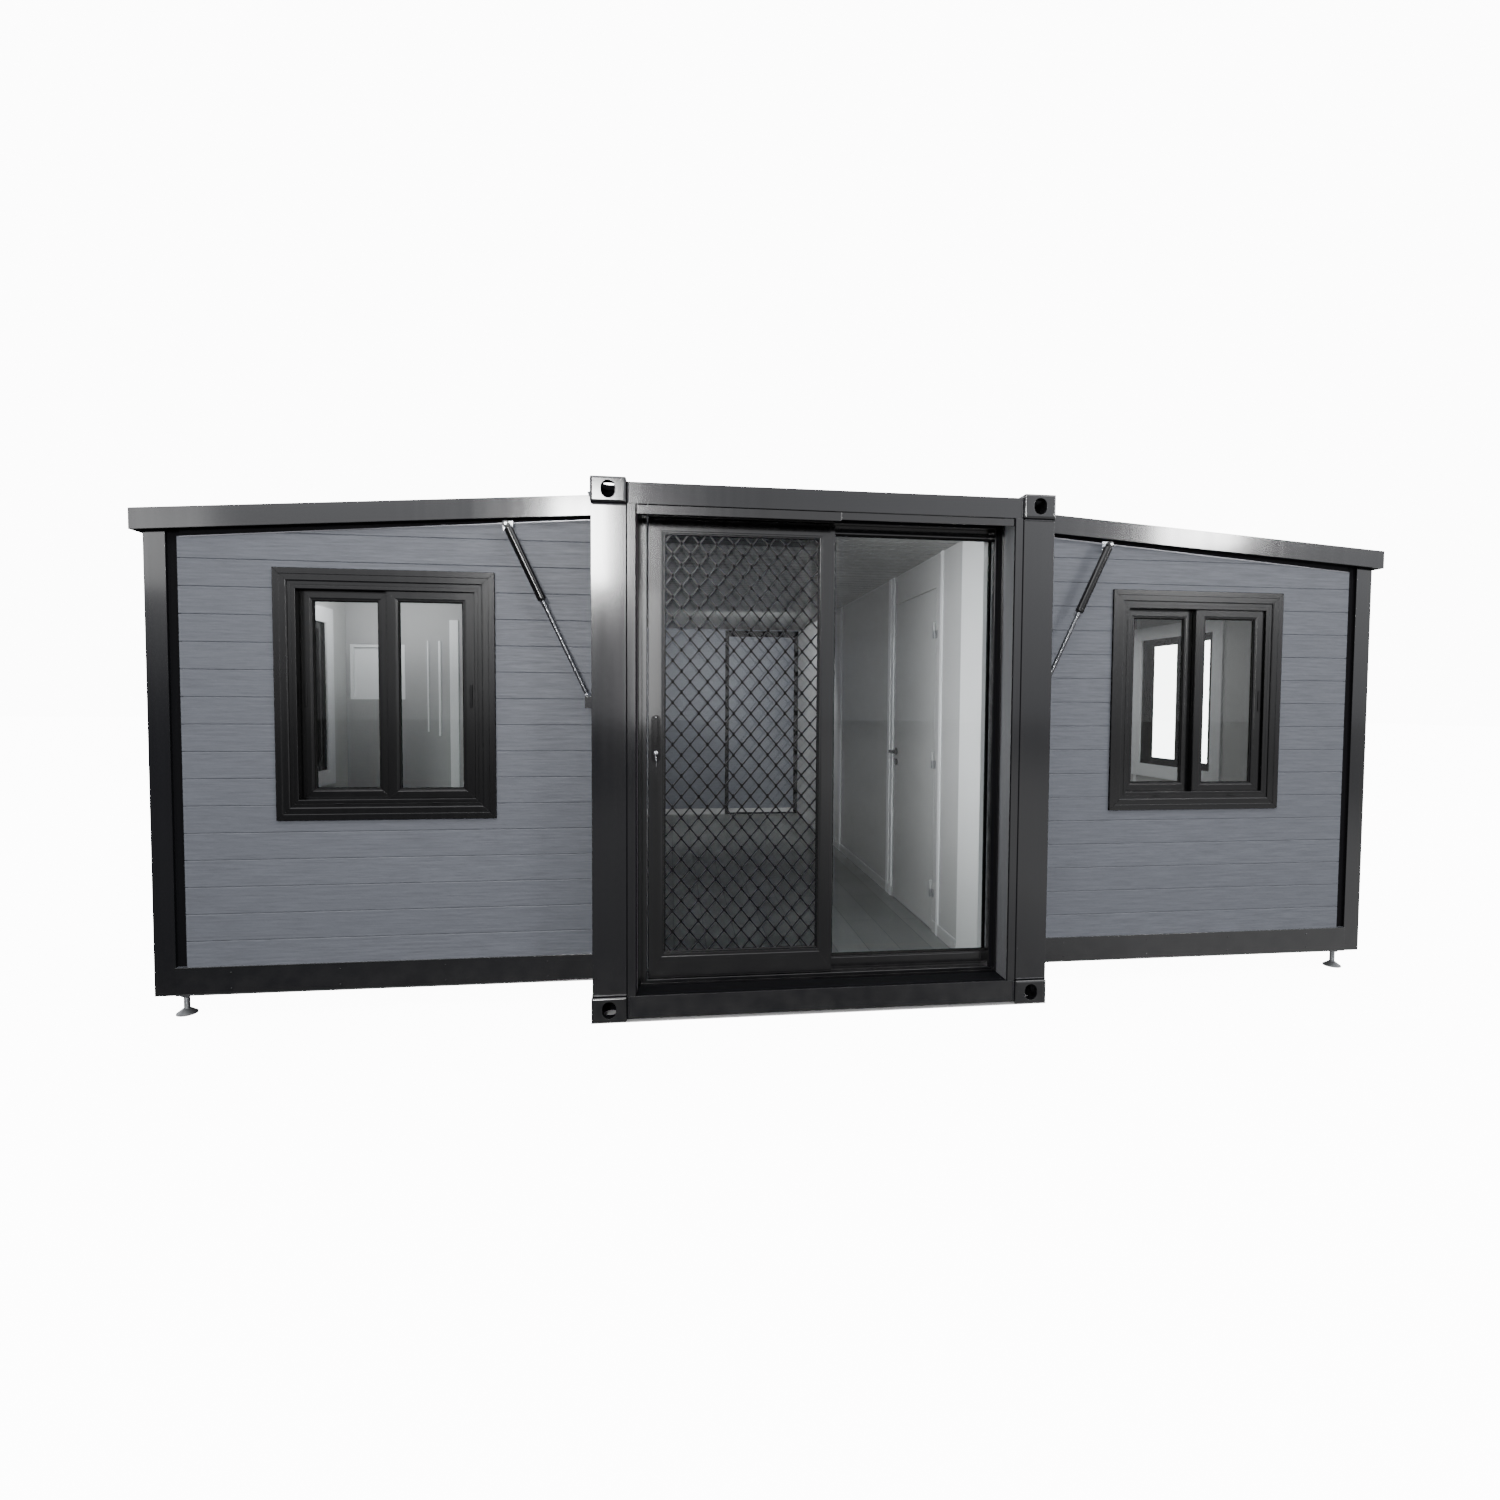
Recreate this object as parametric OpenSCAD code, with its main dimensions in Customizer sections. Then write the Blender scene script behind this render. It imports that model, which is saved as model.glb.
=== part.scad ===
// Expandable container house: a steel core with two unfolded side wings.
// Millimetres, +Z up, the glazed end faces -Y, the ground is z = 0.

/* [Core frame] */
// length of the core from corner casting to corner casting
core_length = 5900; // [5600:50:6500]
// width of the core between the outer casting faces
core_width = 2200; // [2150:10:2400]
// height of the core over the top castings
core_height = 2480; // [2440:10:2700]
// corner casting size across the core
casting_x = 162; // [155:1:175]
// corner casting size along the core
casting_y = 178; // [170:1:190]
// corner casting height
casting_z = 118; // [112:1:130]
// wall thickness of a corner casting
casting_wall = 26; // [20:1:30]
// radius of a casting's rounded edges
casting_r = 12; // [8:1:16]
// width of the slots in the end face and over or under a casting
slot_w = 63.5; // [60:0.5:66]
// height of the slots in the end face and the side face
slot_h = 79; // [76:1:82]
// width of the slot in the side face
side_slot_w = 51; // [48:1:54]
// length of the slot over or under a casting
lift_slot_l = 124; // [120:1:128]
// side of the square corner post
post_size = 156; // [120:2:156]
// width of the narrow post between corner post and door
side_post_w = 42; // [30:2:60]
// wall thickness of posts and beams
tube_wall = 5; // [3:1:8]
// step from the casting faces back to the post and beam faces
frame_step = 6; // [2:1:12]
// step from the top of the castings down to the top beams
header_drop = 22; // [12:2:34]
// lift of the bottom beams above the ground
sill_lift = 14; // [8:1:24]
// width of the beams along the sides
side_beam_w = 80; // [60:2:100]

/* [Core floor and roof] */
// top of the core floor above the ground
floor_top = 100; // [80:1:112]
// thickness of the core floor
floor_t = 60; // [40:2:70]
// thickness of the core roof panel
core_roof_t = 75; // [50:5:100]

/* [Wings] */
// reach of a wing roof from the core side to its outer edge
wing_reach = 2025; // [1700:25:2300]
// outer roof edge beyond the wing's side wall
eave_side = 35; // [10:5:80]
// roof edge ahead of the wing's end wall
eave_end = 36; // [10:2:60]
// step from the core's end face back to the wing's end wall
wing_setback = 271; // [240:1:340]
// thickness of a wall panel
wall_t = 75; // [50:5:100]
// fall of the wing roof over its reach
roof_fall = 135; // [60:5:200]
// drop from the top of the core to the inner edge of the wing roof
roof_drop = 27; // [20:1:60]
// thickness of the wing roof panel
wing_roof_t = 75; // [50:5:100]
// height of the roof fascia
fascia_h = 93; // [80:1:120]
// thickness of the folded fascia
fascia_t = 5; // [3:1:8]
// distance between the ribs of the roof sheets
rib_pitch = 250; // [200:10:400]
// height of a roof rib
rib_h = 12; // [8:1:14]
// width of a roof rib at its foot
rib_foot = 40; // [30:2:60]
// width of a roof rib on top
rib_top = 18; // [12:1:28]
// distance from the ends of a roof rib to the edge of the roof
rib_inset = 65; // [50:5:120]
// underside of the wing floor above the ground
wing_lift = 106; // [90:2:140]
// thickness of the wing floor
wing_floor_t = 80; // [60:2:100]
// height of the floor edge channel that holds the walls
edge_h = 132; // [110:2:160]
// step of the edge channel ahead of the wall
edge_proud = 6; // [4:1:12]
// width of a wing corner post
wing_post = 92; // [80:2:120]
// width of the recessed strip between siding and wing post
recess_w = 60; // [30:5:90]
// depth of the recessed strip
recess_d = 14; // [6:1:20]

/* [Windows] */
// window width over its casing
window_w = 980; // [800:10:1100]
// wall height left over a window at the outer edge
window_head = 166; // [120:2:300]
// window sill above the ground
window_z = 913; // [850:10:1000]
// window centre from the core side in an end wall
window_off = 957; // [900:10:1000]
// window centre from the middle of the left side wall
left_window_off = 1470; // [1350:10:1600]
// window centre from the middle of the right side wall
right_window_off = 1180; // [900:10:1600]
// width of the casing round a window
casing_w = 60; // [40:5:70]
// thickness of the casing over the wall
casing_t = 12; // [6:1:20]
// face width of the window frame
frame_w = 35; // [25:1:45]
// depth of the window frame
frame_d = 88; // [80:2:100]
// face width of a sash stile
stile_w = 54; // [40:1:60]
// face width of a sash rail
rail_w = 45; // [35:1:55]
// depth of a sash
sash_d = 25; // [20:1:30]
// overlap of the two sashes at the middle
sash_lap = 10; // [0:2:30]
// thickness of a pane
glass_t = 6; // [4:1:8]

/* [Glazed end] */
// step from the end face back to the door frame
door_setback = 130; // [110:2:150]
// depth of the door frame
door_frame_d = 140; // [138:1:150]
// face width of the door frame's jambs
jamb_w = 45; // [40:1:60]
// head of the door frame
head_h = 26; // [20:1:40]
// height of the sill track
track_h = 30; // [20:1:40]
// depth that the fixed leaf sits in its jamb
fixed_bite = 35; // [20:1:38]
// face width of the fixed leaf's stile in the jamb
fixed_stile = 18; // [15:1:40]
// overlap of the leaves at the middle of the opening
leaf_lap = 54; // [45:1:90]
// face width of the screen leaf's stiles
screen_stile = 73; // [60:1:80]
// face width of the screen leaf's top rail
screen_rail = 66; // [50:1:80]
// face width of the screen leaf's bottom rail
screen_foot = 117; // [90:1:130]
// thickness of the screen leaf
screen_t = 27; // [22:1:28]
// thickness of a glazed leaf
leaf_t = 36; // [30:1:36]
// face width of a glazed leaf's stiles
leaf_stile = 58; // [50:1:70]
// face width of a glazed leaf's top rail
leaf_rail = 36; // [30:1:60]
// face width of a glazed leaf's bottom rail
leaf_foot = 62; // [50:1:90]
// space in front of the screen leaf
track_front = 6; // [5:1:8]
// space between neighbouring leaves
track_gap = 8; // [6:1:9]
// running clearance round a moving leaf
run_gap = 5; // [5:1:8]
// width of one diamond of the grille
diamond_w = 83; // [70:1:110]
// height of one diamond of the grille
diamond_h = 100; // [90:1:130]
// width of a grille strand
strand_w = 7; // [6:1:12]
// thickness of the grille
grille_t = 8; // [5:1:10]
// height of the lock above the ground
lock_z = 1300; // [1000:10:1400]
// length of the lock case
lock_l = 222; // [180:2:240]
// width of the lock case
lock_w = 44; // [36:1:50]
// length of the pull on the lock case
pull_l = 126; // [100:2:140]

/* [Room door] */
// distance of the partition's face from the corner posts
partition_inset = 110; // [104:2:160]
// thickness of the partition
partition_t = 60; // [50:2:70]
// near edge of the room door from the end face
room_door_y = 890; // [800:10:1000]
// width of the room door leaf
room_door_w = 800; // [700:10:850]
// height of the panel left over the room door
room_head = 204; // [150:2:300]
// thickness of the room door leaf
room_door_t = 40; // [35:1:45]
// height of the lever above the ground
lever_z = 1140; // [1000:10:1200]
// length of the lever
lever_l = 125; // [100:5:140]
// distance of the outer hinges from the ends of the room door
hinge_inset = 250; // [150:10:300]
// distance of the far trim behind the room door
far_trim_y = 1650; // [1400:10:1700]
// width of the far trim
far_trim_w = 50; // [30:5:60]
// reach of the white board behind the glazed end
lining_l = 225; // [150:5:300]
// depth of the front room of the left wing from the end face
front_room_y = 2200; // [2000:50:2600]
// thickness of the wall behind the front room
room_wall_t = 50; // [40:5:75]
// width of the small window in that wall
vent_w = 370; // [300:10:450]
// height of the small window in that wall
vent_h = 390; // [300:10:450]
// sill of the small window above the ground
vent_z = 1480; // [1300:10:1600]

/* [Struts and feet] */
// top end of a roof strut from the core side
strut_top_x = 398; // [350:5:450]
// drop from the core top to the strut's top end
strut_top_drop = 186; // [180:2:220]
// drop from the core top to the strut's lower end
strut_low_drop = 1010; // [900:10:1100]
// diameter of the strut body
strut_d = 40; // [30:1:50]
// length of the strut body
strut_body = 380; // [300:10:450]
// diameter of the strut rod
rod_d = 20; // [14:1:24]
// diameter of the strut pins
pin_d = 14; // [10:1:18]
// distance of a foot from the wing's side wall face
foot_inset = 100; // [80:5:200]
// diameter of a foot's screw
foot_stem_d = 24; // [18:1:30]
// diameter of a foot's plate
foot_d = 86; // [70:2:110]
// height of a foot's cone
foot_cone_h = 26; // [18:1:34]
// width of a foot's locking nut over its corners
nut_d = 42; // [36:1:50]
// height of a foot's locking nut
nut_h = 18; // [12:1:22]

/* [Hidden] */
// gap between two pieces that seat on each other
seat = 0.3;
hl = core_length / 2;
hw = core_width / 2;
post_out = hw - frame_step;
post_in = post_out - post_size;
post_back = hl - frame_step - post_size;
header_top = core_height - header_drop;
header_low = core_height - casting_z;
sill_top = casting_z;
ceiling_z = header_low;
// the wings
wing_x0 = post_out + seat;
roof_x1 = hw + wing_reach;
wing_x1 = roof_x1 - eave_side;
wing_y = hl - wing_setback;
roof_y = wing_y + eave_end;
roof_top_in = core_height - roof_drop;
wing_floor_top = wing_lift + wing_floor_t;
edge_top = wing_lift + edge_h;
slope = roof_fall / wing_reach;
rib_sink = 2;
// the glazed end, from the end face inward
door_y = -hl + door_setback;
opening_x = post_in - side_post_w;
leaf_x0 = -opening_x + jamb_w + run_gap;
head_low = header_low - head_h;
track_top = sill_top + track_h;
screen_y = door_y + track_front;
fixed_y = screen_y + screen_t + track_gap;
slide_y = fixed_y + leaf_t + track_gap;
roller_inset = 120;
roller_l = 40;
leaf_z0 = track_top + run_gap;
leaf_z1 = head_low - run_gap;
fixed_x1 = opening_x - jamb_w + fixed_bite;
leaf_w = (fixed_x1 - leaf_x0 + leaf_lap) / 2;
fixed_x0 = fixed_x1 - leaf_w;
// the room door
partition_x = post_in - partition_inset;
room_y0 = -hl + room_door_y;
room_y1 = room_y0 + room_door_w;
room_z0 = floor_top + 8;
room_z1 = ceiling_z - room_head;
jamb_gap = 5;
trim_w = 30;
near_trim_gap = 88;
latch_trim_gap = 28;
latch_trim_w = 55;
latch_trim_step = 75;
hinge_r = 9;
hinge_pin = 5;
hinge_x = partition_x - hinge_r - 1;
hinge_y = room_y0 - jamb_gap / 2;
hinge_z = [room_z0 + hinge_inset, (room_z0 + room_z1) / 2, room_z1 - hinge_inset];
lining_y0 = fixed_y + leaf_t + 4;
lining_y1 = door_y + door_frame_d + lining_l;
lining_t = 20;
partition_y0 = door_y + door_frame_d + 5;
back_wall_y = post_back + wall_t;
// the windows
window_h = wall_top(wing_x1) - window_head - window_z;
sash_w = (window_w - 2 * casing_w - 2 * frame_w + sash_lap) / 2;
sash_h = window_h - 2 * casing_w - 2 * frame_w;
win_open_w = window_w - 2 * casing_w;
win_open_h = window_h - 2 * casing_w;
end_window_x = hw + window_off;
// the struts
strut_y = roof_y + 40;
strut_a = [hw + strut_top_x, core_height - strut_top_drop];
strut_b = [hw + 16, core_height - strut_low_drop];
strut_len = norm(strut_a - strut_b);
strut_tilt = atan2(strut_a[0] - strut_b[0], strut_a[1] - strut_b[1]);
eye_d = pin_d + 18;
eye_w = 24;

// helpers

// a block given by its low and high corners
module block(lo, hi) {
  translate(lo)
    cube(hi - lo);
}

// a copy on the left and on the right
module sides() {
  children();
  mirror([1, 0, 0])
    children();
}

// a copy at the front and at the back
module ends() {
  children();
  mirror([0, 1, 0])
    children();
}

// a rectangular tube along x, y or z, open at its two ends
module tube(lo, hi, along, wall) {
  off = [for (i = [0:2]) i == along ? -1 : wall];
  difference() {
    block(lo, hi);
    block(lo + off, hi - off);
  }
}

// an extrusion along y of a shape drawn in x and z
module along_y(y0, y1) {
  translate([0, y1, 0])
    rotate([90, 0, 0])
      linear_extrude(height = y1 - y0)
        children();
}

// an extrusion along z
module along_z(z0, z1) {
  translate([0, 0, z0])
    linear_extrude(height = z1 - z0)
      children();
}

// a rectangle with round corners, centred
module round_rect(x, y, r) {
  square([x - 2 * r, y], center = true);
  square([x, y - 2 * r], center = true);
  for (i = [-1, 1])
    for (j = [-1, 1])
      translate([i * (x / 2 - r), j * (y / 2 - r)])
        circle(r = r, $fn = 32);
}

// an upright slot with round ends
module slot_shape(w, h) {
  square([w, h - w], center = true);
  for (s = [-1, 1])
    translate([0, s * (h - w) / 2])
      circle(d = w, $fn = 32);
}

// top of the wing roof at a distance x from the middle
function roof_top(x) = roof_top_in - slope * (x - hw);

// top of a wing wall at a distance x from the middle, just under the roof panel
function wall_top(x) = roof_top(x) - wing_roof_t - seat;

// the frame of the core

// one hollow corner casting with its three slots, at the right back bottom
module casting() {
  translate([hw - casting_x / 2, hl - casting_y / 2, 0])
    difference() {
      intersection() {
        along_z(0, casting_z)
          round_rect(casting_x, casting_y, casting_r);
        translate([0, 0, casting_z / 2])
          along_y(-casting_y / 2, casting_y / 2)
            round_rect(casting_x, casting_z, casting_r);
        translate([0, 0, casting_z / 2])
          rotate([0, 0, 90])
            along_y(-casting_x / 2, casting_x / 2)
              round_rect(casting_y, casting_z, casting_r);
      }
      block(
        [-casting_x / 2 + casting_wall, -casting_y / 2 + casting_wall, casting_wall],
        [casting_x / 2 - casting_wall, casting_y / 2 - casting_wall, casting_z - casting_wall]
      );
      // slot underneath
      translate([0, 0, -1])
        linear_extrude(height = casting_wall + 2)
          slot_shape(slot_w, lift_slot_l);
      // slot in the end face
      translate([0, casting_y / 2 + 1, casting_z / 2])
        rotate([90, 0, 0])
          linear_extrude(height = casting_wall + 2)
            slot_shape(slot_w, slot_h);
      // slot in the side face
      translate([casting_x / 2 - casting_wall - 1, 0, casting_z / 2])
        rotate([90, 0, 90])
          linear_extrude(height = casting_wall + 2)
            slot_shape(side_slot_w, slot_h);
    }
}

module bottom_corner_castings() {
  color("dimgray")
    sides()
      ends()
        casting();
}

module top_corner_castings() {
  color("dimgray")
    translate([0, 0, core_height])
      mirror([0, 0, 1])
        sides()
          ends()
            casting();
}

module corner_posts() {
  color("dimgray")
    sides()
      ends()
        tube(
          [post_in, post_back, casting_z],
          [post_out, hl - frame_step, core_height - casting_z],
          2, tube_wall
        );
}

// narrow posts that carry the door frame between the front corner posts
module door_side_posts() {
  color("dimgray")
    sides()
      tube(
        [opening_x, -hl + frame_step, sill_top],
        [post_in, -post_back, header_low],
        2, tube_wall
      );
}

module end_header_beams() {
  color("dimgray")
    ends()
      tube(
        [-hw + casting_x, post_back, header_low],
        [hw - casting_x, hl - frame_step, header_top],
        0, tube_wall
      );
}

module end_sill_beams() {
  color("dimgray")
    ends()
      tube(
        [-hw + casting_x, post_back, sill_lift],
        [hw - casting_x, hl - frame_step, sill_top],
        0, tube_wall
      );
}

module side_top_beams() {
  color("dimgray")
    sides()
      tube(
        [post_out - side_beam_w, -hl + casting_y, header_low],
        [post_out, hl - casting_y, header_top],
        1, tube_wall
      );
}

module side_bottom_beams() {
  color("dimgray")
    sides()
      tube(
        [post_out - side_beam_w, -hl + casting_y, sill_lift],
        [post_out, hl - casting_y, sill_top],
        1, tube_wall
      );
}

// insulated columns that close the core's sides between its corner posts and the wing walls
module corner_side_panels() {
  color("lightsteelblue")
    sides()
      ends() {
        block([opening_x, wing_y - wall_t, sill_top], [post_out, post_back, header_low]);
        // the foot on the core floor, inside the side beam
        block(
          [opening_x, wing_y - wall_t, floor_top],
          [post_out - side_beam_w, hl - casting_y - 1, sill_top + 1]
        );
      }
}

// a deck between the beams, notched round the corner castings
module deck_shape(x, y) {
  difference() {
    square([2 * x, 2 * y], center = true);
    for (i = [-1, 1])
      for (j = [-1, 1])
        translate([i * hw, j * hl])
          square([2 * casting_x + 2, 2 * casting_y + 2], center = true);
  }
}

module core_floor() {
  color("gray")
    along_z(floor_top - floor_t, floor_top)
      deck_shape(post_out - side_beam_w, post_back);
}

// pressed ribs across x on a roof sheet whose top is at z = 0, a pitch apart over y
module roof_ribs(x0, x1, reach) {
  count = floor(reach / rib_pitch);
  for (i = [-count:count])
    translate([x0, i * rib_pitch, 0])
      rotate([90, 0, 90])
        linear_extrude(height = x1 - x0)
          polygon([
            [-rib_foot / 2, -rib_sink], [rib_foot / 2, -rib_sink],
            [rib_foot / 2, 0], [rib_top / 2, rib_h], [-rib_top / 2, rib_h], [-rib_foot / 2, 0]
          ]);
}

module core_roof() {
  x = post_out - side_beam_w;
  top = ceiling_z + core_roof_t;
  color("gray") {
    along_z(ceiling_z, top)
      deck_shape(x, post_back);
    translate([0, 0, top])
      roof_ribs(-x + rib_inset, x - rib_inset, post_back - rib_inset);
  }
}

module core_back_wall() {
  color("lightsteelblue")
    block([-post_in, back_wall_y - wall_t, sill_top], [post_in, back_wall_y, header_low]);
}

// the glazed end

module door_frame() {
  xi = opening_x - jamb_w;
  color("black")
    difference() {
      along_y(door_y, door_y + door_frame_d)
        difference() {
          translate([-opening_x, sill_top])
            square([2 * opening_x, header_low - sill_top]);
          translate([-xi, track_top])
            square([2 * xi, head_low - track_top]);
        }
      // the channel that takes the fixed leaf's stile
      block(
        [xi - 1, fixed_y - seat, track_top],
        [fixed_x1 + seat, fixed_y + leaf_t + seat, head_low]
      );
      // grooves on both sides of each rail of the sill track
      for (y = [screen_y + screen_t / 2, fixed_y + leaf_t / 2, slide_y + leaf_t / 2])
        for (s = [-1, 1])
          block([-xi, y + s * 8 - 4, track_top - 12], [xi, y + s * 8 + 4, track_top + 1]);
    }
}

// one leaf frame between two x values, with the face widths of its two stiles
module leaf_frame(x0, x1, y, t, z0, z1, stiles, rail, foot) {
  along_y(y, y + t)
    difference() {
      translate([x0, z0])
        square([x1 - x0, z1 - z0]);
      translate([x0 + stiles[0], z0 + foot])
        square([x1 - x0 - stiles[0] - stiles[1], z1 - z0 - foot - rail]);
    }
}

// the pane of a glazed leaf
module leaf_pane(x0, x1, y, t, z0, z1, stiles, rail, foot) {
  ym = y + t / 2;
  block(
    [x0 + stiles[0] + seat, ym - glass_t / 2, z0 + foot + seat],
    [x1 - stiles[1] - seat, ym + glass_t / 2, z1 - rail - seat]
  );
}

// rollers that carry a sliding leaf on its rail
module rollers(x0, x1, y, t) {
  for (x = [x0 + roller_inset, x1 - roller_inset - roller_l])
    block([x, y + t / 2 - 3, track_top + seat], [x + roller_l, y + t / 2 + 3, leaf_z0]);
}

module fixed_leaf_frame() {
  color("black")
    leaf_frame(
      fixed_x0, fixed_x1, fixed_y, leaf_t, track_top, head_low,
      [leaf_stile, fixed_stile], leaf_rail + run_gap, leaf_foot + run_gap
    );
}

module fixed_leaf_glass() {
  color("lightblue", 0.4)
    leaf_pane(
      fixed_x0, fixed_x1, fixed_y, leaf_t, track_top, head_low,
      [leaf_stile, fixed_stile], leaf_rail + run_gap, leaf_foot + run_gap
    );
}

module glass_leaf_frame() {
  color("black") {
    leaf_frame(
      leaf_x0, leaf_x0 + leaf_w, slide_y, leaf_t, leaf_z0, leaf_z1,
      [leaf_stile, leaf_stile], leaf_rail, leaf_foot
    );
    rollers(leaf_x0, leaf_x0 + leaf_w, slide_y, leaf_t);
  }
}

module glass_leaf_pane() {
  color("lightblue", 0.4)
    leaf_pane(
      leaf_x0, leaf_x0 + leaf_w, slide_y, leaf_t, leaf_z0, leaf_z1,
      [leaf_stile, leaf_stile], leaf_rail, leaf_foot
    );
}

module screen_leaf_frame() {
  color("dimgray") {
    leaf_frame(
      leaf_x0, leaf_x0 + leaf_w, screen_y, screen_t, leaf_z0, leaf_z1,
      [screen_stile, screen_stile], screen_rail, screen_foot
    );
    rollers(leaf_x0, leaf_x0 + leaf_w, screen_y, screen_t);
  }
}

// the diamond lattice of crossing strands, fused where they cross, in its narrow rim
module screen_leaf_grille() {
  x0 = leaf_x0 + screen_stile + seat;
  x1 = leaf_x0 + leaf_w - screen_stile - seat;
  z0 = leaf_z0 + screen_foot + seat;
  z1 = leaf_z1 - screen_rail - seat;
  nx = ceil((x1 - x0) / diamond_w) + 1;
  nz = ceil((z1 - z0) / diamond_h) + 1;
  k = strand_w / 2 * norm([diamond_w, diamond_h]) / (diamond_w * diamond_h);
  rim = 5;
  color("black")
    along_y(screen_y + (screen_t - grille_t) / 2, screen_y + (screen_t + grille_t) / 2)
      difference() {
        translate([x0, z0])
          square([x1 - x0, z1 - z0]);
        intersection() {
          translate([x0 + rim, z0 + rim])
            square([x1 - x0 - 2 * rim, z1 - z0 - 2 * rim]);
          for (i = [0:nx])
            for (j = [0:nz])
              for (h = [0, 0.5])
                translate([x0 + (i + h) * diamond_w, z0 + (j + h) * diamond_h])
                  scale([diamond_w * (0.5 - k), diamond_h * (0.5 - k)])
                    polygon([[1, 0], [0, 1], [-1, 0], [0, -1]]);
        }
      }
}

// lock case with its pull, cylinder and rose on the screen leaf
module screen_leaf_lock() {
  x = leaf_x0 + screen_stile / 2;
  pull_z = lock_z - 26;
  color("black") {
    along_y(screen_y - 10 - seat, screen_y - seat)
      translate([x, lock_z])
        slot_shape(lock_w, lock_l);
    // the pull stands off on two feet
    for (z = [pull_z + 6, pull_z + pull_l - 22])
      block([x - 7, screen_y - 34, z], [x + 7, screen_y - 9, z + 16]);
    block([x - 9, screen_y - 44, pull_z], [x + 9, screen_y - 32, pull_z + pull_l]);
    // the cylinder
    translate([x, screen_y - 9, lock_z - 67])
      rotate([90, 0, 0])
        cylinder(d = 24, h = 12, $fn = 32);
  }
}

// the partition and its door

module partition_front_panel() {
  color("gainsboro")
    block(
      [partition_x, lining_y1, floor_top],
      [partition_x + partition_t, room_y0 - jamb_gap, ceiling_z]
    );
}

module partition_back_panel() {
  color("gainsboro")
    block(
      [partition_x, room_y1 + jamb_gap, floor_top],
      [partition_x + partition_t, back_wall_y - wall_t, ceiling_z]
    );
}

module partition_head_panel() {
  color("gainsboro")
    block(
      [partition_x, room_y0 - jamb_gap, room_z1 + jamb_gap],
      [partition_x + partition_t, room_y1 + jamb_gap, ceiling_z]
    );
}

// one white upright trim on the core side of the partition
module trim(y, w) {
  block([partition_x - 8, y, floor_top], [partition_x, y + w, ceiling_z]);
}

module partition_trims() {
  color("white") {
    trim(room_y0 - near_trim_gap - trim_w, trim_w);
    trim(room_y1 + latch_trim_gap, latch_trim_w);
    trim(room_y1 + latch_trim_gap + latch_trim_step, latch_trim_w);
    trim(room_y1 + far_trim_y, far_trim_w);
  }
}

// the white board in front of the partition, with a thin tongue between door track and head
module front_lining_board() {
  color("white") {
    block(
      [partition_x, partition_y0, floor_top],
      [partition_x + partition_t, lining_y1, ceiling_z]
    );
    block(
      [partition_x, lining_y0, track_top + seat],
      [partition_x + lining_t, partition_y0 + 1, head_low - seat]
    );
  }
}

module room_door_leaf() {
  color("gainsboro") {
    block(
      [partition_x, room_y0, room_z0],
      [partition_x + room_door_t, room_y1, room_z1]
    );
    // hinge leaves and their upper knuckles
    for (z = hinge_z)
      difference() {
        union() {
          block(
            [partition_x - 3, room_y0 + 1, z + seat],
            [partition_x, room_y0 + 32, z + 48]
          );
          along_z(z + seat, z + 48)
            translate([hinge_x, hinge_y])
              circle(r = hinge_r, $fn = 24);
          block(
            [hinge_x, hinge_y, z + seat],
            [partition_x, hinge_y + hinge_r, z + 48]
          );
        }
        along_z(z - 1, z + 49)
          translate([hinge_x, hinge_y])
            circle(r = hinge_pin + seat, $fn = 24);
      }
  }
}

// lower knuckles with their pins, on the near jamb
module room_door_hinges() {
  color("silver")
    for (z = hinge_z) {
      along_z(z - 48, z)
        translate([hinge_x, hinge_y])
          circle(r = hinge_r, $fn = 24);
      along_z(z - 1, z + 46)
        translate([hinge_x, hinge_y])
          circle(r = hinge_pin, $fn = 24);
      block(
        [partition_x - 3, hinge_y - 32, z - 48],
        [partition_x, hinge_y - 2, z]
      );
      block(
        [hinge_x, hinge_y - hinge_r, z - 48],
        [partition_x, hinge_y - 2, z]
      );
    }
}

// levers and roses on both faces of the room door
module room_door_lever() {
  y = room_y1 - 55;
  color("black")
    for (f = [[partition_x, -1], [partition_x + room_door_t, 1]])
      translate([f[0], y, lever_z])
        scale([f[1], 1, 1]) {
          for (z = [0, -75])
            translate([seat, 0, z])
              rotate([0, 90, 0])
                cylinder(d = 50, h = 8, $fn = 32);
          translate([8, 0, 0])
            rotate([0, 90, 0])
              cylinder(d = 20, h = 46, $fn = 24);
          block([42, -lever_l, -10], [56, 10, 10]);
        }
}

// the wall behind the front room of the left wing
module left_room_wall() {
  y0 = -hl + front_room_y;
  x0 = wing_x1 - wall_t;
  color("gainsboro")
    difference() {
      along_y(y0, y0 + room_wall_t)
        mirror([1, 0, 0])
          polygon([
            [wing_x0, wing_floor_top], [x0, wing_floor_top],
            [x0, wall_top(x0)], [wing_x0, wall_top(wing_x0)]
          ]);
      block(
        [-x0 + 25, y0 - 1, vent_z],
        [-x0 + 25 + vent_w, y0 + room_wall_t + 1, vent_z + vent_h]
      );
    }
}

module small_window() {
  y0 = -hl + front_room_y;
  x0 = -(wing_x1 - wall_t) + 25;
  color("white") {
    along_y(y0 + 5, y0 + room_wall_t - 5)
      difference() {
        translate([x0, vent_z])
          square([vent_w, vent_h]);
        translate([x0 + 22, vent_z + 22])
          square([vent_w - 44, vent_h - 44]);
      }
    block(
      [x0 + 20, y0 + room_wall_t / 2 - 3, vent_z + 20],
      [x0 + vent_w - 20, y0 + room_wall_t / 2 + 3, vent_z + vent_h - 20]
    );
  }
}

// the wings

// wing floors, notched at their outer corners for the wing posts
module wing_floors() {
  color("gray")
    sides()
      along_z(wing_lift, wing_floor_top)
        difference() {
          translate([wing_x0, -wing_y])
            square([wing_x1 - wing_x0, 2 * wing_y]);
          for (s = [-1, 1])
            translate([wing_x1, s * wing_y])
              square(2 * wing_post, center = true);
        }
}

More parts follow.
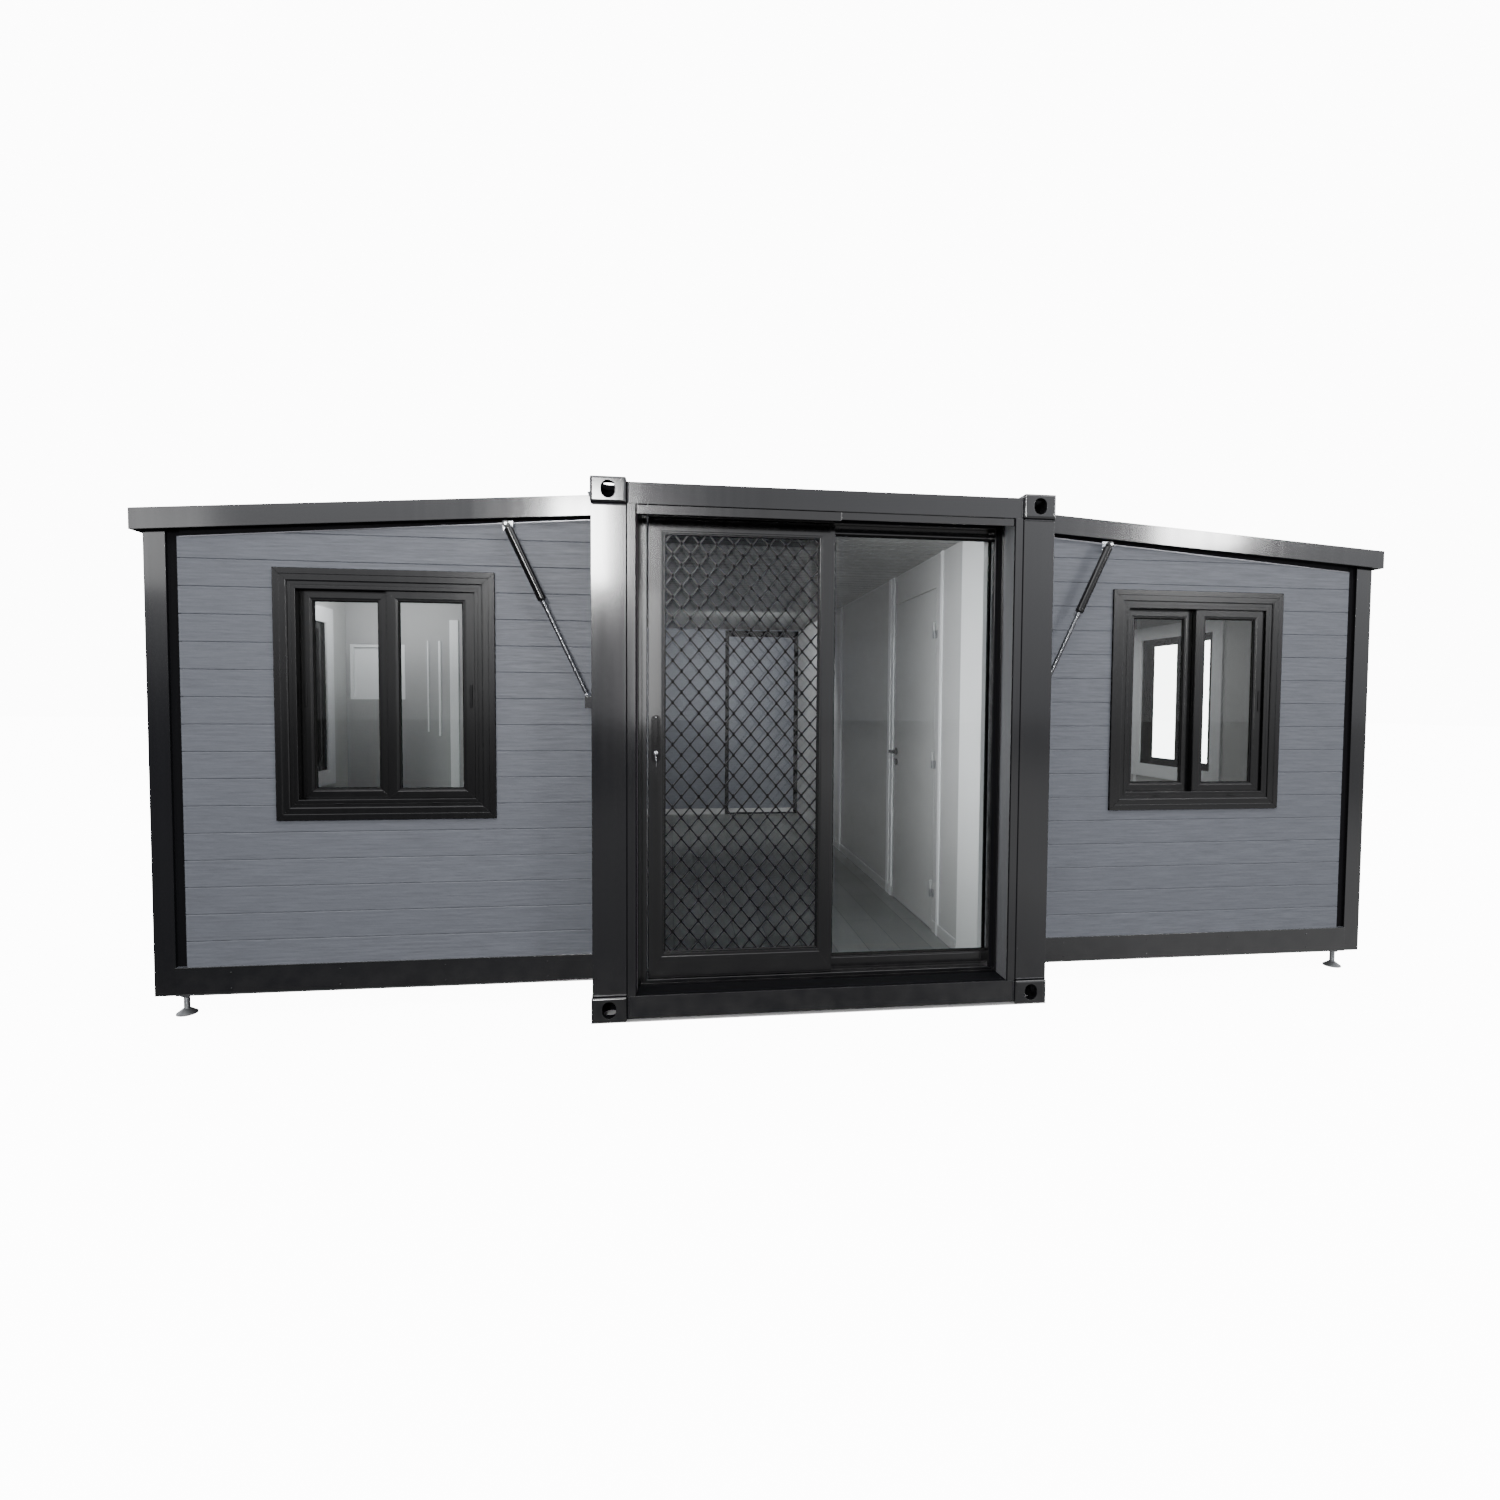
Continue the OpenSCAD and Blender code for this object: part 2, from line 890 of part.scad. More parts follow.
// edge channels along the three outer edges of each wing floor, between the wing posts
module floor_edge_channels() {
  color("dimgray")
    sides() {
      ends()
        block([wing_x0, wing_y, wing_lift], [wing_x1 - wing_post, wing_y + edge_proud, edge_top]);
      block(
        [wing_x1, -wing_y + wing_post, wing_lift],
        [wing_x1 + edge_proud, wing_y - wing_post, edge_top]
      );
    }
}

module wing_corner_posts() {
  color("dimgray")
    sides()
      ends()
        along_y(wing_y - wing_post, wing_y)
          polygon([
            [wing_x1 - wing_post, wing_lift], [wing_x1, wing_lift],
            [wing_x1, wall_top(wing_x1)], [wing_x1 - wing_post, wall_top(wing_x1 - wing_post)]
          ]);
}

// one end wall at the right back, with its window cut through
module end_wall() {
  x1 = wing_x1 - wing_post;
  difference() {
    along_y(wing_y - wall_t, wing_y)
      difference() {
        polygon([
          [wing_x0, wing_floor_top], [x1, wing_floor_top],
          [x1, wall_top(x1)], [wing_x0, wall_top(wing_x0)]
        ]);
        translate([end_window_x - win_open_w / 2, window_z + casing_w])
          square([win_open_w, win_open_h]);
      }
    block([x1 - recess_w, wing_y - recess_d, edge_top], [x1 + 1, wing_y + 1, core_height]);
  }
}

module front_wing_walls() {
  color("lightsteelblue")
    sides()
      mirror([0, 1, 0])
        end_wall();
}

module back_wing_walls() {
  color("lightsteelblue")
    sides()
      end_wall();
}

// the wall along the side of the right wing, with two windows at the same distance off its middle
module side_wall(window_off) {
  y = wing_y - wing_post;
  x = wing_x1 - wall_t;
  difference() {
    along_y(-y, y)
      polygon([
        [x, wing_floor_top], [wing_x1, wing_floor_top],
        [wing_x1, wall_top(wing_x1)], [x, wall_top(x)]
      ]);
    ends() {
      block(
        [x - 1, window_off - win_open_w / 2, window_z + casing_w],
        [wing_x1 + 1, window_off + win_open_w / 2, window_z + casing_w + win_open_h]
      );
      block([wing_x1 - recess_d, y - recess_w, edge_top], [wing_x1 + 1, y + 1, core_height]);
    }
  }
}

module side_walls() {
  color("lightsteelblue") {
    side_wall(right_window_off);
    mirror([1, 0, 0])
      side_wall(left_window_off);
  }
}

// a slice of height h under the slope of the wing roof
module roof_slice(x0, x1, h) {
  polygon([[x0, roof_top(x0)], [x1, roof_top(x1)], [x1, roof_top(x1) - h], [x0, roof_top(x0) - h]]);
}

module wing_roofs() {
  color("gray")
    sides() {
      along_y(-roof_y + fascia_t, roof_y - fascia_t)
        roof_slice(wing_x0, roof_x1 - fascia_t, wing_roof_t);
      translate([wing_x0, 0, roof_top(wing_x0)])
        rotate([0, atan(slope), 0])
          roof_ribs(rib_inset / 2, roof_x1 - rib_inset - wing_x0, roof_y - rib_inset - rib_foot);
    }
}

// fascia boards along the three outer edges of each wing roof
module roof_fascias() {
  y = roof_y - fascia_t;
  color("dimgray")
    sides() {
      ends()
        along_y(y, roof_y)
          roof_slice(wing_x0, roof_x1, fascia_h);
      along_y(-y + seat, y - seat)
        roof_slice(roof_x1 - fascia_t, roof_x1, fascia_h);
    }
}

// the windows, drawn in x and z with the wall's outer face at y = 0 and the room behind it

module window_frame() {
  along_y(-casing_t, 0)
    difference() {
      square([window_w, window_h], center = true);
      square([win_open_w - 2, win_open_h - 2], center = true);
    }
  along_y(-casing_t + 4, frame_d - casing_t)
    difference() {
      square([win_open_w - 2 * seat, win_open_h - 2 * seat], center = true);
      square([win_open_w - 2 * frame_w, win_open_h - 2 * frame_w], center = true);
    }
}

// the outer sash is on the right and the inner one on the left
module window_sash(s) {
  x = s * (sash_w - sash_lap) / 2;
  y = s > 0 ? 6 : 6 + sash_d + 6;
  along_y(y, y + sash_d)
    translate([x, 0])
      difference() {
        square([sash_w, sash_h], center = true);
        square([sash_w - 2 * stile_w, sash_h - 2 * rail_w], center = true);
      }
}

module window_pane(s) {
  x = s * (sash_w - sash_lap) / 2;
  y = (s > 0 ? 6 : 6 + sash_d + 6) + sash_d / 2;
  along_y(y - glass_t / 2, y + glass_t / 2)
    translate([x, 0])
      square([sash_w - 2 * stile_w - 2 * seat, sash_h - 2 * rail_w - 2 * seat], center = true);
}

// puts a window into each of the eight window cut-outs
module at_windows() {
  z = window_z + window_h / 2;
  for (x = [-end_window_x, end_window_x]) {
    translate([x, -wing_y, z])
      children();
    translate([x, wing_y, z])
      rotate([0, 0, 180])
        children();
  }
  for (s = [-1, 1]) {
    translate([wing_x1, s * right_window_off, z])
      rotate([0, 0, 90])
        children();
    translate([-wing_x1, s * left_window_off, z])
      rotate([0, 0, -90])
        children();
  }
}

module window_frames() {
  color("dimgray")
    at_windows()
      window_frame();
}

module window_sashes() {
  color("dimgray")
    at_windows()
      for (s = [-1, 1])
        window_sash(s);
}

module window_panes() {
  color("lightblue", 0.4)
    at_windows()
      for (s = [-1, 1])
        window_pane(s);
}

// the struts, drawn at the right back

// moves to a strut end and turns its axis along y
module at_strut(p, y0, y1) {
  translate([p[0], y1, p[1]])
    rotate([90, 0, 0])
      linear_extrude(height = y1 - y0)
        children();
}

module strut_brackets() {
  y0 = strut_y - eye_w / 2;
  y1 = strut_y + eye_w / 2;
  color("dimgray")
    sides()
      ends() {
        // upper bracket, a plate with a boss on the fascia
        at_strut(strut_a, roof_y, roof_y + 8)
          square(44, center = true);
        at_strut(strut_a, roof_y + 7, y0 - 2)
          circle(d = eye_d - 4, $fn = 32);
        at_strut(strut_a, y0 - 3, y1 + 6)
          circle(d = pin_d, $fn = 24);
        // lower bracket, fixed on the side of the corner post
        block(
          [post_out, post_back + 10, strut_b[1] - 28],
          [strut_b[0] + 22, post_back + 22, strut_b[1] + 28]
        );
        at_strut(strut_b, y0 - 6, post_back + 11)
          circle(d = pin_d, $fn = 24);
      }
}

// puts a piece drawn along z from the strut's lower end
module on_strut() {
  sides()
    ends()
      translate([strut_b[0], strut_y, strut_b[1]])
        rotate([0, strut_tilt, 0])
          children();
}

// an eye round a pin, at the origin
module eye() {
  rotate([90, 0, 0])
    difference() {
      cylinder(d = eye_d, h = eye_w, center = true, $fn = 32);
      cylinder(d = pin_d + 2 * seat, h = eye_w + 2, center = true, $fn = 24);
    }
}

module strut_bodies() {
  color("black")
    on_strut() {
      translate([0, 0, strut_len])
        eye();
      difference() {
        union() {
          translate([0, 0, strut_len - strut_body])
            cylinder(d = strut_d, h = strut_body - eye_d / 2 - 4, $fn = 32);
          translate([0, 0, strut_len - eye_d / 2 - 6])
            cylinder(d = eye_w - 4, h = 8, $fn = 32);
        }
        translate([0, 0, strut_len - strut_body - 1])
          cylinder(d = rod_d + 2 * seat, h = 81, $fn = 32);
      }
    }
}

module strut_rods() {
  color("silver")
    on_strut() {
      eye();
      translate([0, 0, eye_d / 2 - 2])
        cylinder(d = rod_d, h = strut_len - strut_body + 60 - eye_d / 2 + 2, $fn = 32);
    }
}

module levelling_feet() {
  x = wing_x1 - foot_inset;
  color("silver")
    sides()
      for (y = [-wing_y + 60, 0, wing_y - 60])
        translate([x, y, 0]) {
          rotate_extrude($fn = 32)
            polygon([
              [0, 0], [foot_d / 2, 0], [foot_d / 2, 6],
              [foot_stem_d / 2 + 4, foot_cone_h], [foot_stem_d / 2, foot_cone_h],
              [foot_stem_d / 2, wing_lift], [0, wing_lift]
            ]);
          // the locking nut under the floor
          translate([0, 0, wing_lift - nut_h])
            cylinder(d = nut_d, h = nut_h, $fn = 6);
        }
}

bottom_corner_castings();
top_corner_castings();
corner_posts();
door_side_posts();
end_header_beams();
end_sill_beams();
side_top_beams();
side_bottom_beams();
corner_side_panels();
core_floor();
core_roof();
core_back_wall();
door_frame();
fixed_leaf_frame();
fixed_leaf_glass();
glass_leaf_frame();
glass_leaf_pane();
screen_leaf_frame();
screen_leaf_grille();
screen_leaf_lock();
partition_front_panel();
partition_back_panel();
partition_head_panel();
partition_trims();
front_lining_board();
room_door_leaf();
room_door_lever();
room_door_hinges();
left_room_wall();
small_window();
wing_floors();
floor_edge_channels();
wing_corner_posts();
front_wing_walls();
back_wing_walls();
side_walls();
wing_roofs();
roof_fascias();
window_frames();
window_sashes();
window_panes();
strut_brackets();
strut_bodies();
strut_rods();
levelling_feet();
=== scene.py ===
"""Looks of an expandable container house: steel core, unfolded wings, doors and windows."""

import logging
import math
import random
from collections.abc import Iterable, Sequence
from dataclasses import dataclass
from enum import Enum

import bmesh
import bpy
from mathutils import Matrix, Vector

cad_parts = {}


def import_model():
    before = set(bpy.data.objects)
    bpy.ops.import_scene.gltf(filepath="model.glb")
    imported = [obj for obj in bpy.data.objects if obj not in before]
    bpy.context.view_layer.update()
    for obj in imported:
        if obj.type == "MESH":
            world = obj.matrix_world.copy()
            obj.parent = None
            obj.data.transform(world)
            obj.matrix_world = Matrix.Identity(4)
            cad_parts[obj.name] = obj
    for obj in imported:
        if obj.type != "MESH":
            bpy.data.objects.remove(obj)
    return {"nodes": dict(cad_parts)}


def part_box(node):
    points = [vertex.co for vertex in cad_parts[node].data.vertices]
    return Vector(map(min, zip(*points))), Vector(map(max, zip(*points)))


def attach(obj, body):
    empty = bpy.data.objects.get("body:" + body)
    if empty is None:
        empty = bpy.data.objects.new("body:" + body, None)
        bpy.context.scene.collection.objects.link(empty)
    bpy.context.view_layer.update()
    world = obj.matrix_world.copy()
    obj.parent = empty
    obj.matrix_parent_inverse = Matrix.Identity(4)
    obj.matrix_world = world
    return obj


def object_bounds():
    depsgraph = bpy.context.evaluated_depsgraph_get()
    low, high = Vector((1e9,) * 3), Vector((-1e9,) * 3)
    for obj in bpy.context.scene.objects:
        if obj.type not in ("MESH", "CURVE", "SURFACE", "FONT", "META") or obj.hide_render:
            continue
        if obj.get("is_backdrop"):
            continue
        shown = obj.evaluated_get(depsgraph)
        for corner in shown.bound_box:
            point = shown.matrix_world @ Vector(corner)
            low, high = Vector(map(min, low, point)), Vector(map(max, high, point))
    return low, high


LOG = logging.getLogger("container_house")
HOUSE = "house"
BOARD_PITCH = 0.1252
BOARD_FIRST = 0.1065
Colour = tuple[float, float, float]
Point = Sequence[float]
Rect = tuple[float, float, float, float]
Box = tuple[Vector, Vector]
Item = bpy.types.Object
Socket = bpy.types.NodeSocket
Tree = bpy.types.NodeTree


# ---- directions


class Facing(Enum):
    """The way an upright face looks: its out direction, then its direction along."""

    FRONT = ((0.0, -1.0), (1.0, 0.0))
    BACK = ((0.0, 1.0), (-1.0, 0.0))
    LEFT = ((-1.0, 0.0), (0.0, -1.0))
    RIGHT = ((1.0, 0.0), (0.0, 1.0))

    @property
    def turn(self) -> Matrix:
        """The turn from along, up and out to the house's axes."""
        (out_x, out_y), (along_x, along_y) = self.value
        return Matrix(
            ((along_x, 0, out_x, 0), (along_y, 0, out_y, 0), (0, 1, 0, 0), (0, 0, 0, 1))
        )

    def local(self, box: Box) -> Box:
        """Reads a box in the axes along, up and out.

        Args:
            box: Lowest and highest corner in the house's axes.

        Returns:
            Lowest and highest corner along, up and out.
        """
        back = self.turn.inverted()
        first, second = back @ box[0], back @ box[1]
        low = Vector(min(a, b) for a, b in zip(first, second))
        high = Vector(max(a, b) for a, b in zip(first, second))
        return low, high

    @classmethod
    def of(cls, box: Box) -> "Facing":
        """The facing of a thin upright box, seen from the middle of the house."""
        size, middle = box[1] - box[0], (box[0] + box[1]) / 2
        if size.x < size.y:
            return cls.RIGHT if middle.x > 0 else cls.LEFT
        return cls.BACK if middle.y > 0 else cls.FRONT


def solids_of(node: Item) -> list[Box]:
    """Finds the separate solids of a frame node.

    Args:
        node: The node's object, whose place is in its mesh.

    Returns:
        The lowest and highest corner of each solid, in order of x, y and z.
    """
    places: dict[tuple[float, ...], int] = {}
    index = [
        places.setdefault(tuple(round(c, 5) for c in v.co), len(places))
        for v in node.data.vertices
    ]
    parent = list(range(len(places)))

    def root(i: int) -> int:
        """The solid that a corner belongs to so far."""
        while parent[i] != i:
            parent[i] = parent[parent[i]]
            i = parent[i]
        return i

    for face in node.data.polygons:
        first = root(index[face.vertices[0]])
        for other in face.vertices[1:]:
            parent[root(index[other])] = first
    groups: dict[int, list[tuple[float, ...]]] = {}
    for place, number in places.items():
        groups.setdefault(root(number), []).append(place)
    boxes = [
        (Vector(map(min, zip(*corners))), Vector(map(max, zip(*corners))))
        for corners in groups.values()
    ]
    return sorted(boxes, key=lambda box: tuple(round(c, 3) for c in box[0]))


# ---- node groups


class Recipe:
    """Lays out the nodes of one material or node group."""

    def __init__(self, tree: Tree) -> None:
        """Keeps the tree that the nodes go into."""
        self.tree = tree

    def node(self, kind: str, values: dict | None = None, **settings: object) -> bpy.types.Node:
        """Adds a node.

        Args:
            kind: The node's type name.
            values: Input name or number to a value or to the socket that feeds it.
            **settings: The node's own properties.

        Returns:
            The new node.
        """
        made = self.tree.nodes.new(kind)
        for key, value in settings.items():
            setattr(made, key, value)
        self.fill(made, values or {})
        return made

    def fill(self, node: bpy.types.Node, values: dict) -> None:
        """Links or sets several inputs of a node."""
        for key, value in values.items():
            self.feed(node.inputs[key], value)

    def feed(self, socket: Socket, value: object) -> None:
        """Links a socket, or sets its value."""
        if isinstance(value, Socket):
            self.tree.links.new(value, socket)
        else:
            socket.default_value = value

    def math(
        self, operation: str, first: object, second: object = 0.0, clamp: bool = False
    ) -> Socket:
        """The result socket of one sum."""
        values = {0: first, 1: second}
        return self.node("ShaderNodeMath", values, operation=operation, use_clamp=clamp).outputs[0]

    def times(self, first: object, second: object, clamp: bool = False) -> Socket:
        """The product of two values."""
        return self.math("MULTIPLY", first, second, clamp)

    def plus(self, first: object, second: object, clamp: bool = False) -> Socket:
        """The sum of two values."""
        return self.math("ADD", first, second, clamp)

    def less(self, first: object, second: object, clamp: bool = False) -> Socket:
        """The first value less the second."""
        return self.math("SUBTRACT", first, second, clamp)

    def axes(self) -> bpy.types.bpy_prop_collection:
        """The object coordinates X, Y and Z."""
        place = self.node("ShaderNodeTexCoord").outputs["Object"]
        return self.node("ShaderNodeSeparateXYZ", {0: place}).outputs

    def blend(self, share: object, first: object, second: object) -> Socket:
        """Blends two colours.

        Args:
            share: Share of the second colour.
            first: A colour or a colour socket.
            second: A colour or a colour socket.

        Returns:
            The blended colour's socket.
        """
        ends = [(*c, 1.0) if isinstance(c, tuple) else c for c in (first, second)]
        values = {0: share, 6: ends[0], 7: ends[1]}
        return self.node("ShaderNodeMix", values, data_type="RGBA").outputs[2]

    def spread(self, value: object, low: object, high: object) -> Socket:
        """Stretches a value from 0..1 to low..high."""
        values = {"Value": value, "To Min": low, "To Max": high}
        return self.node("ShaderNodeMapRange", values).outputs[0]

    def window(self, value: object, low: object, high: object) -> Socket:
        """Turns low..high of a value into 0..1."""
        values = {"Value": value, "From Min": low, "From Max": high}
        return self.node("ShaderNodeMapRange", values).outputs[0]

    def noise(self, place: object, scale: object, detail: float = 2.0) -> Socket:
        """The value of a noise."""
        values = {"Vector": place, "Scale": scale, "Detail": detail}
        return self.node("ShaderNodeTexNoise", values).outputs[0]

    def place(self, stretch: Point = (1.0, 1.0, 1.0)) -> Socket:
        """Object coordinates times a stretch along each axis."""
        values = {0: self.node("ShaderNodeTexCoord").outputs["Object"], 1: stretch}
        return self.node("ShaderNodeVectorMath", values, operation="MULTIPLY").outputs[0]

    def group(self, tree: Tree, values: dict) -> bpy.types.Node:
        """Places a node group with its values."""
        made = self.tree.nodes.new("ShaderNodeGroup")
        made.node_tree = tree
        self.fill(made, values)
        return made


class Effects:
    """The shader node groups that the finishes share, each built once."""

    def __init__(self) -> None:
        """Builds every group."""
        self.edges = self._edges()
        self.mottle = self._mottle()
        self.dust = self._dust()
        self.grain = self._grain()
        self.planks = self._planks()

    @staticmethod
    def _start(
        name: str, inputs: dict[str, float], outputs: dict[str, str]
    ) -> tuple[Recipe, bpy.types.bpy_prop_collection, bpy.types.bpy_prop_collection]:
        """Starts a group.

        Args:
            name: The group's name.
            inputs: Each float input and its start value.
            outputs: Each output and its socket type.

        Returns:
            A recipe for the group, its given values and the sockets of its results.
        """
        tree = bpy.data.node_groups.new(name, "ShaderNodeTree")
        for key, value in inputs.items():
            socket = tree.interface.new_socket(key, in_out="INPUT", socket_type="NodeSocketFloat")
            socket.default_value = value
        for key, kind in outputs.items():
            tree.interface.new_socket(key, in_out="OUTPUT", socket_type=kind)
        recipe = Recipe(tree)
        given, result = recipe.node("NodeGroupInput"), recipe.node("NodeGroupOutput")
        return recipe, given.outputs, result.inputs

    def _edges(self) -> Tree:
        """Softly rounded edges, and a mask of the rubbed paint along them."""
        recipe, given, result = self._start(
            "edge_wear",
            {"Radius": 0.004, "Amount": 0.5, "Scale": 9.0},
            {"Mask": "NodeSocketFloat", "Normal": "NodeSocketVector"},
        )
        soft = recipe.node("ShaderNodeBevel", {"Radius": given["Radius"]}, samples=4)
        true = recipe.node("ShaderNodeNewGeometry").outputs["Normal"]
        dot = recipe.node(
            "ShaderNodeVectorMath", {0: soft.outputs[0], 1: true}, operation="DOT_PRODUCT"
        ).outputs["Value"]
        edge = recipe.times(recipe.less(1.0, dot), 9.0, clamp=True)
        patches = recipe.noise(recipe.place(), given["Scale"], 5.0)
        patches = recipe.window(patches, 0.48, 0.62)
        rubbed = recipe.times(edge, patches, clamp=True)
        recipe.feed(result["Mask"], recipe.times(rubbed, given["Amount"]))
        recipe.feed(result["Normal"], soft.outputs[0])
        return recipe.tree

    def _mottle(self) -> Tree:
        """Soft patches and upright streaks."""
        recipe, given, result = self._start(
            "mottle_and_streaks",
            {"Scale": 1.6, "Streaks": 30.0},
            {"Patches": "NodeSocketFloat", "Streaks": "NodeSocketFloat"},
        )
        recipe.feed(result["Patches"], recipe.noise(recipe.place(), given["Scale"], 3.0))
        recipe.feed(
            result["Streaks"],
            recipe.noise(recipe.place((1.0, 1.0, 0.03)), given["Streaks"], 3.0),
        )
        return recipe.tree

    def _dust(self) -> Tree:
        """A mask of dust that gathers near the ground and on level faces."""
        recipe, given, result = self._start(
            "dust", {"Height": 0.35, "Level": 0.5}, {"Mask": "NodeSocketFloat"}
        )
        low = recipe.math("DIVIDE", recipe.axes()["Z"], given["Height"])
        low = recipe.less(1.0, low, clamp=True)
        normal = recipe.node("ShaderNodeNewGeometry").outputs["Normal"]
        up = recipe.node("ShaderNodeSeparateXYZ", {0: normal}).outputs["Z"]
        level = recipe.times(recipe.window(up, 0.6, 1.0), given["Level"])
        patches = recipe.window(recipe.noise(recipe.place(), 14.0, 6.0), 0.35, 0.7)
        gathered = recipe.math("MAXIMUM", recipe.times(low, 0.6), level)
        recipe.feed(result["Mask"], recipe.times(gathered, patches, clamp=True))
        return recipe.tree

    def _grain(self) -> Tree:
        """Level embossed grain on boards, with its own run and tone on each board."""
        recipe, given, result = self._start(
            "board_grain",
            {"Pitch": BOARD_PITCH, "First": BOARD_FIRST},
            {"Height": "NodeSocketFloat", "Tone": "NodeSocketFloat"},
        )
        axes = recipe.axes()
        above = recipe.less(axes["Z"], given["First"])
        board = recipe.math("FLOOR", recipe.math("DIVIDE", above, given["Pitch"]))
        along = recipe.plus(axes["X"], axes["Y"])
        along = recipe.plus(along, recipe.times(board, 3.7))
        grain = []
        for run, rise, detail, share in ((5.0, 95.0, 3.0, 0.65), (22.0, 330.0, 2.0, 0.35)):
            ends = {0: recipe.times(along, run), 2: recipe.times(axes["Z"], rise)}
            laid = recipe.node("ShaderNodeCombineXYZ", ends).outputs[0]
            grain.append(recipe.times(recipe.noise(laid, 1.0, detail), share))
        mixed = recipe.plus(*grain)
        recipe.feed(result["Height"], mixed)
        tone = recipe.node("ShaderNodeTexWhiteNoise", {"W": board}, noise_dimensions="1D")
        recipe.feed(result["Tone"], tone.outputs["Value"])
        return recipe.tree

    def _planks(self) -> Tree:
        """Floor planks with narrow joints and a tone for each plank."""
        recipe, given, result = self._start(
            "floor_planks",
            {"Width": 0.18, "Length": 1.2},
            {"Joint": "NodeSocketFloat", "Tone": "NodeSocketFloat"},
        )
        axes = recipe.axes()
        laid = recipe.node(
            "ShaderNodeCombineXYZ", {0: axes["Y"], 1: axes["X"]}
        ).outputs[0]
        bricks = recipe.node(
            "ShaderNodeTexBrick",
            {
                "Vector": laid,
                "Color1": (0.0, 0.0, 0.0, 1.0),
                "Color2": (1.0, 1.0, 1.0, 1.0),
                "Mortar": (0.5, 0.5, 0.5, 1.0),
                "Scale": 1.0,
                "Mortar Size": 0.0022,
                "Brick Width": given["Length"],
                "Row Height": given["Width"],
            },
        )
        recipe.feed(result["Joint"], bricks.outputs["Fac"])
        recipe.feed(result["Tone"], bricks.outputs["Color"])
        return recipe.tree


# ---- finishes

COAT_ROUGHNESS = 0.09
GLASS_IOR = 1.45
DUST_COLOUR = (0.30, 0.29, 0.27)


@dataclass(frozen=True)
class Finish:
    """A finish: a coloured surface with its shine, patches, dust and rubbed edges."""

    name: str
    slot: str
    base: Colour
    roughness: float = 0.4
    metallic: float = 0.0
    coat: float = 0.0
    shine: float = 0.5
    worn: Colour = (0.3, 0.3, 0.31)
    wear: float = 0.0
    radius: float = 0.0025
    patches: float = 0.12
    streaks: float = 0.0
    dust: float = 0.0
    relief: float = 0.0
    relief_scale: float = 300.0

    def material(self, effects: Effects) -> bpy.types.Material:
        """Finds or makes the finish's material.

        Args:
            effects: The shared node groups.

        Returns:
            The material, made once for each finish.
        """
        known = bpy.data.materials.get(self.name)
        if known is not None:
            return known
        made = bpy.data.materials.new(self.name)
        made.use_nodes = True
        made.node_tree.nodes.clear()
        recipe = Recipe(made.node_tree)
        shader = recipe.node("ShaderNodeBsdfPrincipled")
        result = recipe.node("ShaderNodeOutputMaterial")
        recipe.feed(result.inputs["Surface"], self.surface(recipe, shader, effects))
        return made

    def surface(
        self, recipe: Recipe, shader: bpy.types.Node, effects: Effects
    ) -> Socket:
        """Dresses the shader.

        Args:
            recipe: The material's recipe.
            shader: Its principled shader.
            effects: The shared node groups.

        Returns:
            The socket that goes to the material's output.
        """
        recipe.fill(shader, {
            "Metallic": self.metallic, "Coat Weight": self.coat,
            "Specular IOR Level": self.shine, "Coat Roughness": COAT_ROUGHNESS,
        })
        uneven = recipe.group(effects.mottle, {}).outputs
        colour, rough = self.tones(recipe, uneven, effects)
        edge = recipe.group(effects.edges, {"Radius": self.radius, "Amount": self.wear})
        if self.wear:
            colour = recipe.blend(edge.outputs["Mask"], colour, self.worn)
        if self.dust:
            mask = recipe.group(effects.dust, {}).outputs["Mask"]
            mask = recipe.times(mask, self.dust)
            colour = recipe.blend(mask, colour, DUST_COLOUR)
            rough = recipe.plus(rough, recipe.times(mask, 0.4), clamp=True)
        normal = edge.outputs["Normal"]
        if self.relief:
            values = {
                "Height": self.height(recipe, effects),
                "Distance": self.relief,
                "Strength": 1.0,
                "Normal": normal,
            }
            normal = recipe.node("ShaderNodeBump", values).outputs[0]
        recipe.fill(shader, {"Base Color": colour, "Roughness": rough, "Normal": normal})
        return shader.outputs[0]

    def shade(self, share: float) -> Colour:
        """The base colour times a share."""
        return tuple(c * share for c in self.base)

    def tones(self, recipe: Recipe, uneven: object, effects: Effects) -> tuple[Socket, Socket]:
        """The colour and roughness before wear and dust."""
        ends = self.shade(1 - self.patches), self.shade(1 + self.patches)
        colour = recipe.blend(uneven["Patches"], *ends)
        rough = recipe.spread(uneven["Patches"], self.roughness * 0.8, self.roughness * 1.2)
        if self.streaks:
            swing = recipe.less(uneven["Streaks"], 0.5)
            rough = recipe.plus(
                rough, recipe.times(swing, self.streaks), clamp=True
            )
        return colour, rough

    def height(self, recipe: Recipe, effects: Effects) -> Socket:
        """The fine relief of the surface."""
        return recipe.noise(recipe.place(), self.relief_scale, 2.0)


